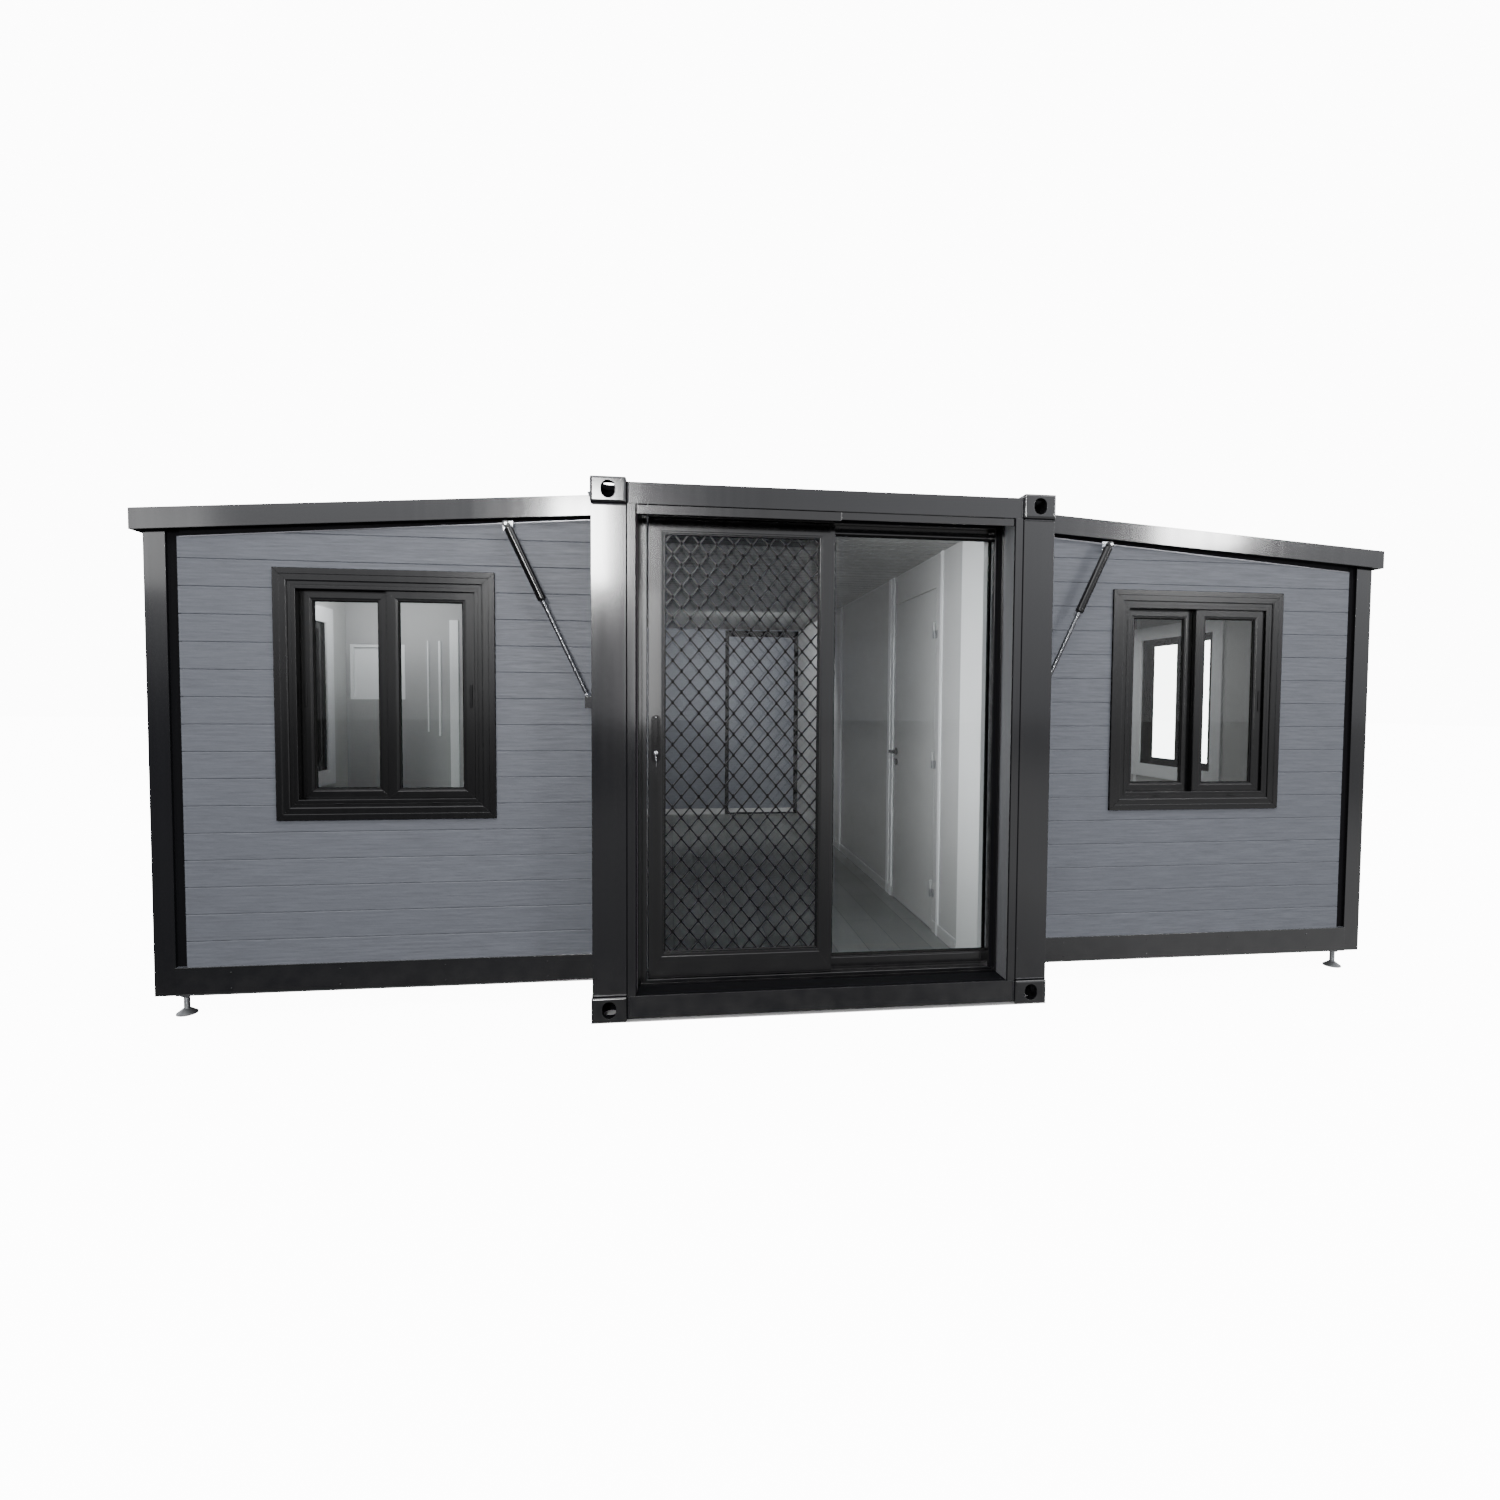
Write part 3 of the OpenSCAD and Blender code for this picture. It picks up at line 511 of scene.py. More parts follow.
@dataclass(frozen=True)
class SidingCoat(Finish):
    """Embossed boards outside, and plain pale panels on the faces inside the rooms."""

    pitch: float = BOARD_PITCH
    first: float = BOARD_FIRST
    inside: Colour = (0.50, 0.51, 0.51)
    room: tuple[float, float] = (3.0, 2.6)

    def tones(self, recipe: Recipe, uneven: object, effects: Effects) -> tuple[Socket, Socket]:
        """The boards' tones, or the pale panel's inside the rooms."""
        boards = recipe.group(effects.grain, {"Pitch": self.pitch, "First": self.first}).outputs
        grain = recipe.window(boards["Height"], 0.32, 0.66)
        colour = recipe.blend(grain, self.shade(0.72), self.shade(1.2))
        tone = recipe.times(boards["Tone"], 0.25)
        colour = recipe.blend(tone, colour, self.shade(0.8))
        share = recipe.times(uneven["Patches"], 0.3)
        colour = recipe.blend(share, colour, self.shade(1.12))
        colour = recipe.blend(self.inner(recipe), colour, self.inside)
        rough = recipe.spread(grain, self.roughness + 0.08, self.roughness - 0.08)
        return colour, rough

    def inner(self, recipe: Recipe) -> Socket:
        """A mask of the faces that look into the rooms."""
        axes = recipe.axes()
        mask: object = 1.0
        for axis, limit in zip("XY", self.room):
            away = recipe.math("ABSOLUTE", axes[axis])
            mask = recipe.times(mask, recipe.math("LESS_THAN", away, limit))
        return mask

    def height(self, recipe: Recipe, effects: Effects) -> Socket:
        """The embossed grain, which stops at the faces inside."""
        boards = recipe.group(effects.grain, {"Pitch": self.pitch, "First": self.first}).outputs
        outside = recipe.less(1.0, self.inner(recipe))
        return recipe.times(boards["Height"], outside)


@dataclass(frozen=True)
class PlankFloor(Finish):
    """Dull vinyl planks with narrow joints."""

    def tones(self, recipe: Recipe, uneven: object, effects: Effects) -> tuple[Socket, Socket]:
        """The planks' tones and their dark joints."""
        planks = recipe.group(effects.planks, {}).outputs
        colour = recipe.blend(planks["Tone"], self.shade(0.82), self.shade(1.15))
        colour = recipe.blend(planks["Joint"], colour, self.shade(0.25))
        rough = recipe.spread(uneven["Patches"], self.roughness * 0.7, self.roughness * 1.3)
        return colour, rough


@dataclass(frozen=True)
class Glazing(Finish):
    """Clear float glass that lets daylight into the rooms."""

    def surface(
        self, recipe: Recipe, shader: bpy.types.Node, effects: Effects
    ) -> Socket:
        """Clear glass whose shadow is light.

        Args:
            recipe: The material's recipe.
            shader: Its principled shader.
            effects: The shared node groups.

        Returns:
            The socket that goes to the material's output.
        """
        values = {"Base Color": (*self.base, 1.0), "Transmission Weight": 1.0, "IOR": GLASS_IOR}
        recipe.fill(shader, values)
        smudges = recipe.group(effects.mottle, {"Scale": 5.0}).outputs["Patches"]
        smudges = recipe.window(smudges, 0.55, 0.85)
        recipe.feed(shader.inputs["Roughness"], recipe.spread(smudges, 0.0, self.roughness))
        clear = recipe.node("ShaderNodeBsdfTransparent", {"Color": (0.76, 0.78, 0.775, 1.0)})
        path = recipe.node("ShaderNodeLightPath")
        soft = recipe.math(
            "MAXIMUM", path.outputs["Is Shadow Ray"], path.outputs["Is Diffuse Ray"]
        )
        values = {0: soft, 1: shader.outputs[0], 2: clear.outputs[0]}
        return recipe.node("ShaderNodeMixShader", values).outputs[0]


FRAME_PAINT = Finish(
    "charcoal_frame_paint", "frame_paint", (0.0062, 0.0064, 0.0082), roughness=0.15, coat=1.0,
    worn=(0.10, 0.10, 0.105), wear=0.35, radius=0.0035, patches=0.2, streaks=0.14, dust=0.08,
)
# Nearly black and matte: painted shadow, on the seam lines and in the castings' hollows.
PAINTED_SHADOW = Finish("black_painted_shadow", "frame_paint", (0.003, 0.003, 0.004), roughness=0.8, shine=0.1)
WELD = Finish(
    "painted_weld", "frame_paint", (0.02, 0.02, 0.023), roughness=0.3, coat=0.3, wear=0.4,
    relief=0.0004, relief_scale=260.0,
)
# Matte black painted shade: the wing recesses, the band under the roofs, the fascia lips, the door
# ledge and the empty door tracks.
PAINTED_SHADE = Finish("black_painted_shade", "frame_paint", (0.004, 0.004, 0.005), roughness=0.7, shine=0.1)
# Grey far lighter than the frame paint: painted light on the steel side faces of the door recess.
PAINTED_LIGHT_REVEAL = Finish(
    "grey_reveal_painted_light", "frame_paint", (0.15, 0.15, 0.16), roughness=0.35, patches=0.1,
    streaks=0.1,
)
TRIM_METAL = Finish(
    "grey_cover_trim", "frame_paint", (0.22, 0.22, 0.24), roughness=0.3, metallic=0.6, patches=0.9,
    relief=0.0004, relief_scale=60.0,
)
ALUMINIUM = Finish(
    "black_coated_aluminium", "dark_aluminium", (0.0012, 0.0012, 0.0016), roughness=0.24,
    coat=0.3, worn=(0.03, 0.03, 0.034), wear=0.3, radius=0.0014, streaks=0.10, dust=0.05,
)
LATTICE = Finish(
    "black_coated_lattice", "dark_aluminium", (0.003, 0.003, 0.0036), roughness=0.30, shine=0.4,
    worn=(0.05, 0.05, 0.054), wear=0.3, radius=0.0014,
)
DOOR_ALUMINIUM = Finish(
    "grey_coated_door_aluminium", "dark_aluminium", (0.0022, 0.0022, 0.0030), roughness=0.20,
    coat=1.0, worn=(0.07, 0.07, 0.075), wear=0.3, radius=0.0016, streaks=0.16, dust=0.06,
)
RUBBER = Finish(
    "black_rubber_gasket", "dark_aluminium", (0.004, 0.004, 0.004), roughness=0.7, shine=0.2
)
PLASTIC = Finish(
    "black_hardware", "black_plastic", (0.004, 0.004, 0.0045), roughness=0.16, wear=0.1,
    radius=0.0012,
)
STEEL = Finish(
    "bright_lock_steel", "bright_steel", (0.72, 0.73, 0.76), roughness=0.16, metallic=1.0,
    patches=0.1, radius=0.001,
)
DULL_STEEL = Finish(
    "dull_zinc_steel", "bright_steel", (0.24, 0.245, 0.26), roughness=0.24, metallic=1.0,
    patches=0.9, radius=0.001, dust=0.15, relief=0.0005, relief_scale=160.0,
)
SATIN_STEEL = Finish(
    "satin_hinge_steel", "bright_steel", (0.30, 0.31, 0.32), roughness=0.45, metallic=0.8,
    radius=0.001,
)
GLASS = Glazing("clear_glass", "window_glass", (0.80, 0.815, 0.81), roughness=0.02)
PANEL = Finish(
    "pale_room_panel", "white_panel", (0.42, 0.425, 0.435), roughness=0.38, patches=0.05,
    radius=0.002, relief=0.0002, relief_scale=45.0,
)
# A near-black copy of the pale room panel: painted shade on the ceiling boards.
SHADED_CEILING = Finish(
    "ribbed_ceiling_painted_shade", "white_panel", (0.06, 0.062, 0.06), roughness=0.32, patches=0.06,
    radius=0.0015,
)
TRIM = Finish(
    "white_trim", "white_trim", (0.90, 0.92, 0.95), roughness=0.28, patches=0.03,
    radius=0.002, coat=0.2,
)
FLOOR = PlankFloor(
    "plank_floor", "floor_board", (0.12, 0.127, 0.127), roughness=0.38, relief=0.0002,
    relief_scale=120.0, dust=0.05,
)
ROOF = Finish(
    "dark_roof_sheet", "roof_panel", (0.075, 0.078, 0.086), roughness=0.42, patches=0.06,
    radius=0.003, dust=0.12, relief=0.0002, relief_scale=90.0,
)
SIDING = SidingCoat(
    "blue_grey_siding", "siding", (0.148, 0.157, 0.182), roughness=0.50, radius=0.0012,
    relief=0.0016, dust=0.08, room=(3.016, 2.6055),
)

NODE_FINISHES: dict[Finish, tuple[str, ...]] = {
    FRAME_PAINT: (
        "bottom_corner_castings", "top_corner_castings", "corner_posts", "door_side_posts",
        "end_header_beams", "end_sill_beams", "side_top_beams", "side_bottom_beams",
        "floor_edge_channels", "wing_corner_posts", "roof_fascias", "strut_brackets",
    ),
    PANEL: (
        "partition_front_panel", "partition_back_panel", "partition_head_panel",
        "room_door_leaf", "left_room_wall",
    ),
    FLOOR: ("core_floor", "wing_floors"),
    ROOF: ("core_roof", "wing_roofs"),
    SIDING: (
        "core_back_wall", "front_wing_walls", "back_wing_walls", "side_walls",
        "corner_side_panels",
    ),
    DOOR_ALUMINIUM: ("door_frame", "screen_leaf_frame", "fixed_leaf_frame", "glass_leaf_frame"),
    LATTICE: ("screen_leaf_grille",),
    ALUMINIUM: ("window_frames", "window_sashes"),
    GLASS: ("fixed_leaf_glass", "glass_leaf_pane", "window_panes"),
    PLASTIC: ("screen_leaf_lock", "room_door_lever", "strut_bodies"),
    # The small window's white is painted light, for the daylight beyond it.
    TRIM: ("partition_trims", "front_lining_board", "small_window"),
    DULL_STEEL: ("strut_rods",),
    SATIN_STEEL: ("room_door_hinges", "levelling_feet"),
}


# ---- shapes


def inset(box: Box, along: float, up: float | None = None) -> Rect:
    """The outline of a box along and up, moved inward."""
    low, high = box
    up = along if up is None else up
    return low.x + along, low.y + up, high.x - along, high.y - up


def level_strip(rise: float) -> list[Point]:
    """The section of a level strip this high."""
    return [(0.0, 0.0), (0.0, rise), (1.0, rise), (1.0, 0.0)]


class Shape:
    """The faces of one piece, drawn along, up and out of a facing, or in the house's axes."""

    def __init__(self, facing: Facing | None = None) -> None:
        """Starts an empty piece."""
        self.mesh = bmesh.new()
        self.face(facing)

    def face(self, facing: Facing | None) -> None:
        """Draws from now on along, up and out of this facing."""
        self.turn = facing.turn if facing else Matrix.Identity(4)

    def loft(self, rings: Sequence[Sequence[Point]]) -> None:
        """Joins rings of points into one closed solid.

        Args:
            rings: Rings with the same number of points, from one end to the other.
        """
        made = [[self.mesh.verts.new(self.turn @ Vector(p)) for p in ring] for ring in rings]
        count = len(made[0])
        for one, two in zip(made, made[1:]):
            for i in range(count):
                j = (i + 1) % count
                self.mesh.faces.new((one[i], one[j], two[j], two[i]))
        self.mesh.faces.new(list(reversed(made[0])))
        self.mesh.faces.new(made[-1])

    def block(self, low: Point, high: Point, bevel: float = 0.0) -> None:
        """Adds a block, with its edges taken off where a bevel is given.

        Args:
            low: One corner.
            high: The corner across from it.
            bevel: Width of the bevel.
        """
        a, b = (Vector(map(pick, low, high)) for pick in (min, max))
        place = self.turn @ Matrix.Translation((a + b) / 2) @ Matrix.Diagonal((*(b - a), 1.0))
        made = bmesh.ops.create_cube(self.mesh, size=1.0, matrix=place)["verts"]
        if bevel:
            edges = list({edge for v in made for edge in v.link_edges})
            bmesh.ops.bevel(
                self.mesh, geom=edges, offset=bevel, segments=1, affect="EDGES", profile=0.5
            )

    def bar(self, section: Sequence[Point], start: float, end: float) -> None:
        """Adds a section in up and out, drawn along from start to end."""
        self.loft([[(along, up, out) for up, out in section] for along in (start, end)])

    def mitred(
        self, outer: Rect, inner: Rect, section: Sequence[Point], face: float,
        gap: float = 0.0004,
    ) -> None:
        """Adds a frame of four mitred members.

        Args:
            outer: Low along, low up, high along and high up of the outer edge.
            inner: The same of the inner edge.
            section: Points across a member: share of its width from outside, and out.
            face: Where out starts.
            gap: Hairline left open at each mitre.
        """
        corners = [(0, 1), (2, 1), (2, 3), (0, 3)]
        for number in range(4):
            first, second = corners[number], corners[(number + 1) % 4]
            run = Vector((outer[second[0]] - outer[first[0]], outer[second[1]] - outer[first[1]]))
            step = run.normalized() * gap
            rings = []
            for corner, sign in ((first, 1), (second, -1)):
                ring = []
                for share, out in section:
                    along = outer[corner[0]] * (1 - share) + inner[corner[0]] * share
                    up = outer[corner[1]] * (1 - share) + inner[corner[1]] * share
                    ring.append((along + sign * step.x, up + sign * step.y, face + out))
                rings.append(ring)
            self.loft(rings)

    def gasket(
        self, box: Box, width: float, rise: float, flat: float = 0.4, gap: float = 0.0
    ) -> None:
        """Runs a gasket round both faces of a pane.

        Args:
            box: The pane's box.
            width: The gasket's width.
            rise: How far it stands out from the pane.
            flat: Share of its width that is level.
            gap: Hairline left open at each mitre.
        """
        for face, out in ((box[1].z, rise), (box[0].z, -rise)):
            section = [(0.0, 0.0), (0.0, out), (flat, out), (1.0, out / 2), (1.0, 0.0)]
            self.mitred(inset(box, 0.0), inset(box, width), section, face, gap)

    def lathe(
        self, start: Point, end: Point, profile: Sequence[Point], sides: int = 12,
        stretch: Point = (1.0, 1.0),
    ) -> None:
        """Adds a turned solid.

        Args:
            start: Where the axis starts.
            end: Where the axis ends.
            profile: Distance along the axis as a share, and radius.
            sides: Number of sides.
            stretch: Stretch of the two directions across the axis.
        """
        a, b = Vector(start), Vector(end)
        axis = (b - a).normalized()
        side = axis.orthogonal().normalized()
        if abs(axis.z) < 0.5:
            side = Vector((0, 0, 1)).cross(axis).normalized()
        other = axis.cross(side)
        rings = []
        for share, radius in profile:
            middle = a.lerp(b, share)
            rings.append([
                middle
                + side * (stretch[0] * radius * math.cos(2 * math.pi * i / sides))
                + other * (stretch[1] * radius * math.sin(2 * math.pi * i / sides))
                for i in range(sides)
            ])
        self.loft(rings)

    def bead(self, start: Point, end: Point, radius: float, chance: random.Random) -> None:
        """Adds a rippled weld bead.

        Args:
            start: Where the bead starts.
            end: Where it ends.
            radius: Its mean radius.
            chance: The seeded source of its ripples.
        """
        steps = max(4, int((Vector(end) - Vector(start)).length / 0.007))
        profile = [
            (i / steps, radius * (0.8 + 0.3 * (i % 2) + 0.2 * chance.random()))
            for i in range(steps + 1)
        ]
        self.lathe(start, end, profile, 6)

    def screw(self, centre: Point, out: Point, radius: float = 0.0045) -> None:
        """Adds a pan head on its washer.

        Args:
            centre: The middle of the washer's back.
            out: The direction that the head points in.
            radius: The washer's radius.
        """
        a = Vector(centre)
        b = a + Vector(out).normalized() * radius * 0.75
        profile = [
            (0, radius), (0.2, radius), (0.25, radius * 0.72), (0.75, radius * 0.66),
            (1, radius * 0.36),
        ]
        self.lathe(a, b, profile, 10)

    def cut(self, point: Point, normal: Point) -> None:
        """Cuts off what lies beyond a plane, and closes the cut.

        Args:
            point: A point of the plane, in the house's axes.
            normal: The side that goes.
        """
        everything = [*self.mesh.verts, *self.mesh.edges, *self.mesh.faces]
        done = bmesh.ops.bisect_plane(
            self.mesh, geom=everything, dist=1e-6, plane_co=point, plane_no=normal,
            clear_outer=True,
        )
        edges = [e for e in done["geom_cut"] if isinstance(e, bmesh.types.BMEdge)]
        bmesh.ops.holes_fill(self.mesh, edges=edges)

    def finish(
        self, name: str, finish: Finish, effects: Effects, body: str = HOUSE,
        smooth: float = 14.0,
    ) -> Item:
        """Makes the piece and sets it on its body.

        Args:
            name: The piece's name.
            finish: Its finish.
            effects: The shared node groups.
            body: The body that it rides on.
            smooth: Edges flatter than this many degrees look round.

        Returns:
            The piece.
        """
        bmesh.ops.recalc_face_normals(self.mesh, faces=self.mesh.faces)
        data = bpy.data.meshes.new(name)
        self.mesh.to_mesh(data)
        self.mesh.free()
        data.polygons.foreach_set("use_smooth", [True] * len(data.polygons))
        data.set_sharp_from_angle(angle=math.radians(smooth))
        data.materials.append(finish.material(effects))
        piece = bpy.data.objects.new(name, data)
        bpy.context.scene.collection.objects.link(piece)
        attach(piece, body)
        LOG.info("%s: %d faces on %s", name, len(data.polygons), body)
        return piece


# ---- the house's own sizes


@dataclass(frozen=True)
class Plan:
    """The places that several pieces share, read from the frame's boxes."""

    nodes: dict[str, Item]
    roof_panel_t: float = 0.075
    fascia_h: float = 0.093
    wall_t: float = 0.075
    recess_w: float = 0.060
    recess_d: float = 0.014
    head_gap: float = 0.030
    head_taper: float = 0.010

    def solids(self, node: str) -> list[Box]:
        """The boxes of a node's solids."""
        return solids_of(self.nodes[node])

    @property
    def fascia(self) -> Box:
        """The box of the right roof's front fascia board."""
        boards = [b for b in self.solids("roof_fascias") if b[0].x > 0 and b[1].y < 0]
        return boards[0]

    @property
    def slope(self) -> float:
        """The fall of the wing roofs over a metre."""
        low, high = self.fascia
        return (high.z - low.z - self.fascia_h) / (high.x - low.x)

    @property
    def roof_start(self) -> Vector:
        """Inner edge of the right wing roof: x, half length, and height of its top."""
        low, high = self.fascia
        return Vector((low.x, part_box("wing_roofs")[1].y, high.z))

    def roof_top(self, x: float) -> float:
        """The height of a wing roof's top at a distance from the middle."""
        start = self.roof_start
        return start.z - self.slope * (abs(x) - start.x)

    def under_roof(self, x: float, drop: float = 0.0) -> float:
        """The height of the wing roof's underside, less a drop."""
        return self.roof_top(x) - self.roof_panel_t - drop

    def wall_head(self, x: float) -> float:
        """The height where the siding ends under a wing roof."""
        return self.under_roof(x, self.head_gap + self.head_taper * (abs(x) - self.roof_start.x))


def nearest(boxes: Iterable[Box], box: Box) -> Box:
    """The box whose middle lies nearest to another's, seen from above."""
    return min(boxes, key=lambda b: (b[0] + b[1] - box[0] - box[1]).xy.length)


@dataclass
class Part:
    """A sub-assembly: what all of them need."""

    plan: Plan
    effects: Effects

    def faced(self, node: str, shape: Shape) -> Iterable[Box]:
        """Turns the shape to each solid of a node, and gives its box along, up and out."""
        for box in self.plan.solids(node):
            facing = Facing.of(box)
            shape.face(facing)
            yield facing.local(box)

    def build(self) -> list[Item]:
        """Builds the pieces."""
        raise NotImplementedError


# ---- walls

WING_WALLS = ("front_wing_walls", "back_wing_walls", "side_walls")


@dataclass
class Siding(Part):
    """The level siding boards on the outer walls."""

    pitch: float = BOARD_PITCH
    first: float = BOARD_FIRST
    thickness: float = 0.0034
    gap: float = 0.0009
    chamfer: float = 0.0024
    over: float = 0.010
    cover: float = 0.020
    overlap: float = 0.012
    least_h: float = 0.012

    def section(self, low: float, high: float, out: float) -> list[Point]:
        """A board's section in up and out."""
        face = out + self.thickness
        edge = out + 0.5 * self.thickness
        a, b = low + self.gap, high - self.gap
        return [
            (a, out), (a, edge), (a + self.chamfer, face), (b - self.chamfer, face),
            (b, edge), (b, out),
        ]

    def boards(self, shape: Shape, rect: Rect, out: float, hole: Sequence[Rect]) -> None:
        """Lays boards over a wall face, round its windows.

        Args:
            shape: The piece that the boards go into.
            rect: Low along, low up, high along and high up of the face.
            out: Where the wall's face is.
            hole: The windows, as the face is given.
        """
        row = math.floor((rect[1] - self.first) / self.pitch)
        while self.first + row * self.pitch < rect[3] - 0.004:
            low = max(rect[1], self.first + row * self.pitch)
            high = min(rect[3], self.first + (row + 1) * self.pitch)
            row += 1
            if high - low < self.least_h:
                continue
            cuts = [h for h in hole if h[1] < high and h[3] > low]
            start = rect[0]
            for gap in sorted(cuts):
                shape.bar(self.section(low, high, out), start, gap[0])
                if low < gap[1]:
                    shape.bar(self.section(low, gap[1], out), gap[0], gap[2])
                if high > gap[3]:
                    shape.bar(self.section(gap[3], high, out), gap[0], gap[2])
                start = gap[2]
            shape.bar(self.section(low, high, out), start, rect[2])

    def holes(self, facing: Facing) -> list[Rect]:
        """The windows that look one way, less the edge that their casing covers."""
        found = []
        for box in self.plan.solids("window_frames"):
            if Facing.of(box) == facing:
                found.append(inset(facing.local(box), self.cover))
        return found

    def wall(self, name: str, facing: Facing, box: Box) -> Item:
        """Clads one wall of a wing.

        Args:
            name: The piece's name.
            facing: The way that the wall looks.
            box: The wall's box in the house's axes.

        Returns:
            The piece.
        """
        low, high = facing.local(box)
        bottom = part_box("floor_edge_channels")[1].z
        holes = [h for h in self.holes(facing) if low.x < h[0] and h[2] < high.x]
        shape = Shape(facing)
        start, end = low.x, high.x
        outer = facing in (Facing.LEFT, Facing.RIGHT)
        recess = self.plan.recess_w - self.over
        if outer or abs(low.x) > abs(high.x):
            start += recess
        if outer or abs(low.x) < abs(high.x):
            end -= recess
        top = self.plan.wall_head(box[0].x) if outer else high.y
        self.boards(shape, (start, bottom - self.overlap, end, top), high.z, holes)
        if not outer:
            side = 1 if (box[0].x + box[1].x) > 0 else -1
            point = (0.0, 0.0, self.plan.wall_head(0.0))
            shape.cut(point, (side * (self.plan.slope + self.plan.head_taper), 0.0, 1.0))
        return shape.finish(name, SIDING, self.effects)

    def build(self) -> list[Item]:
        """Clads every wall.

        Returns:
            The pieces.
        """
        made = [
            self.wall(f"siding_{node}_{side}", Facing.of(box), box)
            for node in WING_WALLS
            for box, side in zip(self.plan.solids(node), ("left", "right"))
        ]
        low, high = Facing.BACK.local(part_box("core_back_wall"))
        shape = Shape(Facing.BACK)
        self.boards(shape, (low.x + 0.004, low.y, high.x - 0.004, high.y), high.z, [])
        made.append(shape.finish("siding_core_back", SIDING, self.effects))
        return made


@dataclass
class WallTrims(Part):
    """Recess liners and a band under the roof in matte black, both painted shade; trims under the
    roof; and the floor channels' screws and lips.
    """

    sheet: float = 0.0015
    trim_h: float = 0.005
    screw_step: float = 0.46

    def liners(self) -> Item:
        """Lines the recesses beside the wing posts with folded matte black sheet, painted shade."""
        shape = Shape()
        width, depth = self.plan.recess_w, self.plan.recess_d
        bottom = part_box("floor_edge_channels")[1].z
        for node in WING_WALLS:
            side = node == "side_walls"
            for low, high in self.faced(node, shape):
                out, edge = high.z, self.sheet
                reach = high.z if side else max(abs(low.x), abs(high.x))
                top = self.plan.under_roof(reach, 0.004)
                ends = []
                if side or abs(low.x) > abs(high.x):
                    ends.append((low.x, low.x + width))
                if side or abs(low.x) < abs(high.x):
                    ends.append((high.x - width, high.x))
                for start, end in ends:
                    section = [
                        (start, out + 0.001), (start, out - depth), (end, out - depth),
                        (end, out + 0.001), (end - edge, out + 0.001),
                        (end - edge, out - depth + edge), (start + edge, out - depth + edge),
                        (start + edge, out + 0.001),
                    ]
                    shape.loft([[(a, up, o) for a, o in section] for up in (bottom, top)])
        return shape.finish("recess_painted_shade_liners", PAINTED_SHADE, self.effects)

    def edges(self, x: float, seal: bool) -> tuple[float, float]:
        """The top and foot of the black band of painted shadow above the siding, or of the trim on
        its edge.
        """
        head = self.plan.wall_head(x)
        return (self.plan.under_roof(x, 0.0006), head) if seal else (head, head - self.trim_h)

    def band(self, name: str, finish: Finish, seal: bool, out: float) -> Item:
        """Runs a strip along the top of each wall, under the roof.

        Args:
            name: The piece's name.
            finish: Its finish.
            seal: Whether it is the black band of painted shadow, which lies above the trim.
            out: How far it stands out from the wall.

        Returns:
            The piece.
        """
        shape = Shape()
        for node in ("front_wing_walls", "back_wing_walls"):
            for low, high in self.plan.solids(node):
                inner, outer = sorted((low.x, high.x), key=abs)
                outer -= math.copysign(self.plan.recess_w, outer)
                face = low.y if node == "front_wing_walls" else high.y
                front = face - out if node == "front_wing_walls" else face + out
                rings = []
                for x in (inner, outer):
                    top, foot = self.edges(x, seal)
                    ys = ((face, top), (front, top), (front, foot), (face, foot))
                    rings.append([(x, y, z) for y, z in ys])
                shape.loft(rings)
        for low, high in self.plan.solids("side_walls"):
            side = 1 if high.x > 0 else -1
            face = high.x if side > 0 else low.x
            top, foot = self.edges(face, seal)
            width = self.plan.recess_w
            shape.block((face, low.y + width, foot), (face + side * out, high.y - width, top))
        return shape.finish(name, finish, self.effects)

    def screws(self) -> Item:
        """Sets screws along the floor channels."""
        shape = Shape()
        for low, high in self.faced("floor_edge_channels", shape):
            count = max(2, round((high.x - low.x) / self.screw_step))
            for i in range(count):
                along = low.x + (i + 0.5) * (high.x - low.x) / count
                for up in (low.y + 0.028, high.y - 0.030):
                    shape.screw((along, up, high.z - 0.0002), (0, 0, 1), 0.0042)
        return shape.finish("channel_screws", FRAME_PAINT, self.effects)

    def channel_lips(self) -> Item:
        """Folds a small lip along the top and foot of each floor channel."""
        shape = Shape()
        for low, high in self.faced("floor_edge_channels", shape):
            for up in (high.y - 0.006, low.y):
                shape.block(
                    (low.x + 0.001, up, high.z - 0.001),
                    (high.x - 0.001, up + 0.006, high.z + 0.0025), 0.0009,
                )
        return shape.finish("channel_lips", FRAME_PAINT, self.effects)

    def build(self) -> list[Item]:
        """Builds the trims."""
        return [
            self.liners(),
            # The matte black band paints the shadow under the roof's edge.
            self.band("wall_head_painted_shadow", PAINTED_SHADE, True, 0.0012),
            self.band("wall_head_trims", TRIM_METAL, False, 0.0050),
            self.screws(), self.channel_lips(),
        ]


# ---- roof


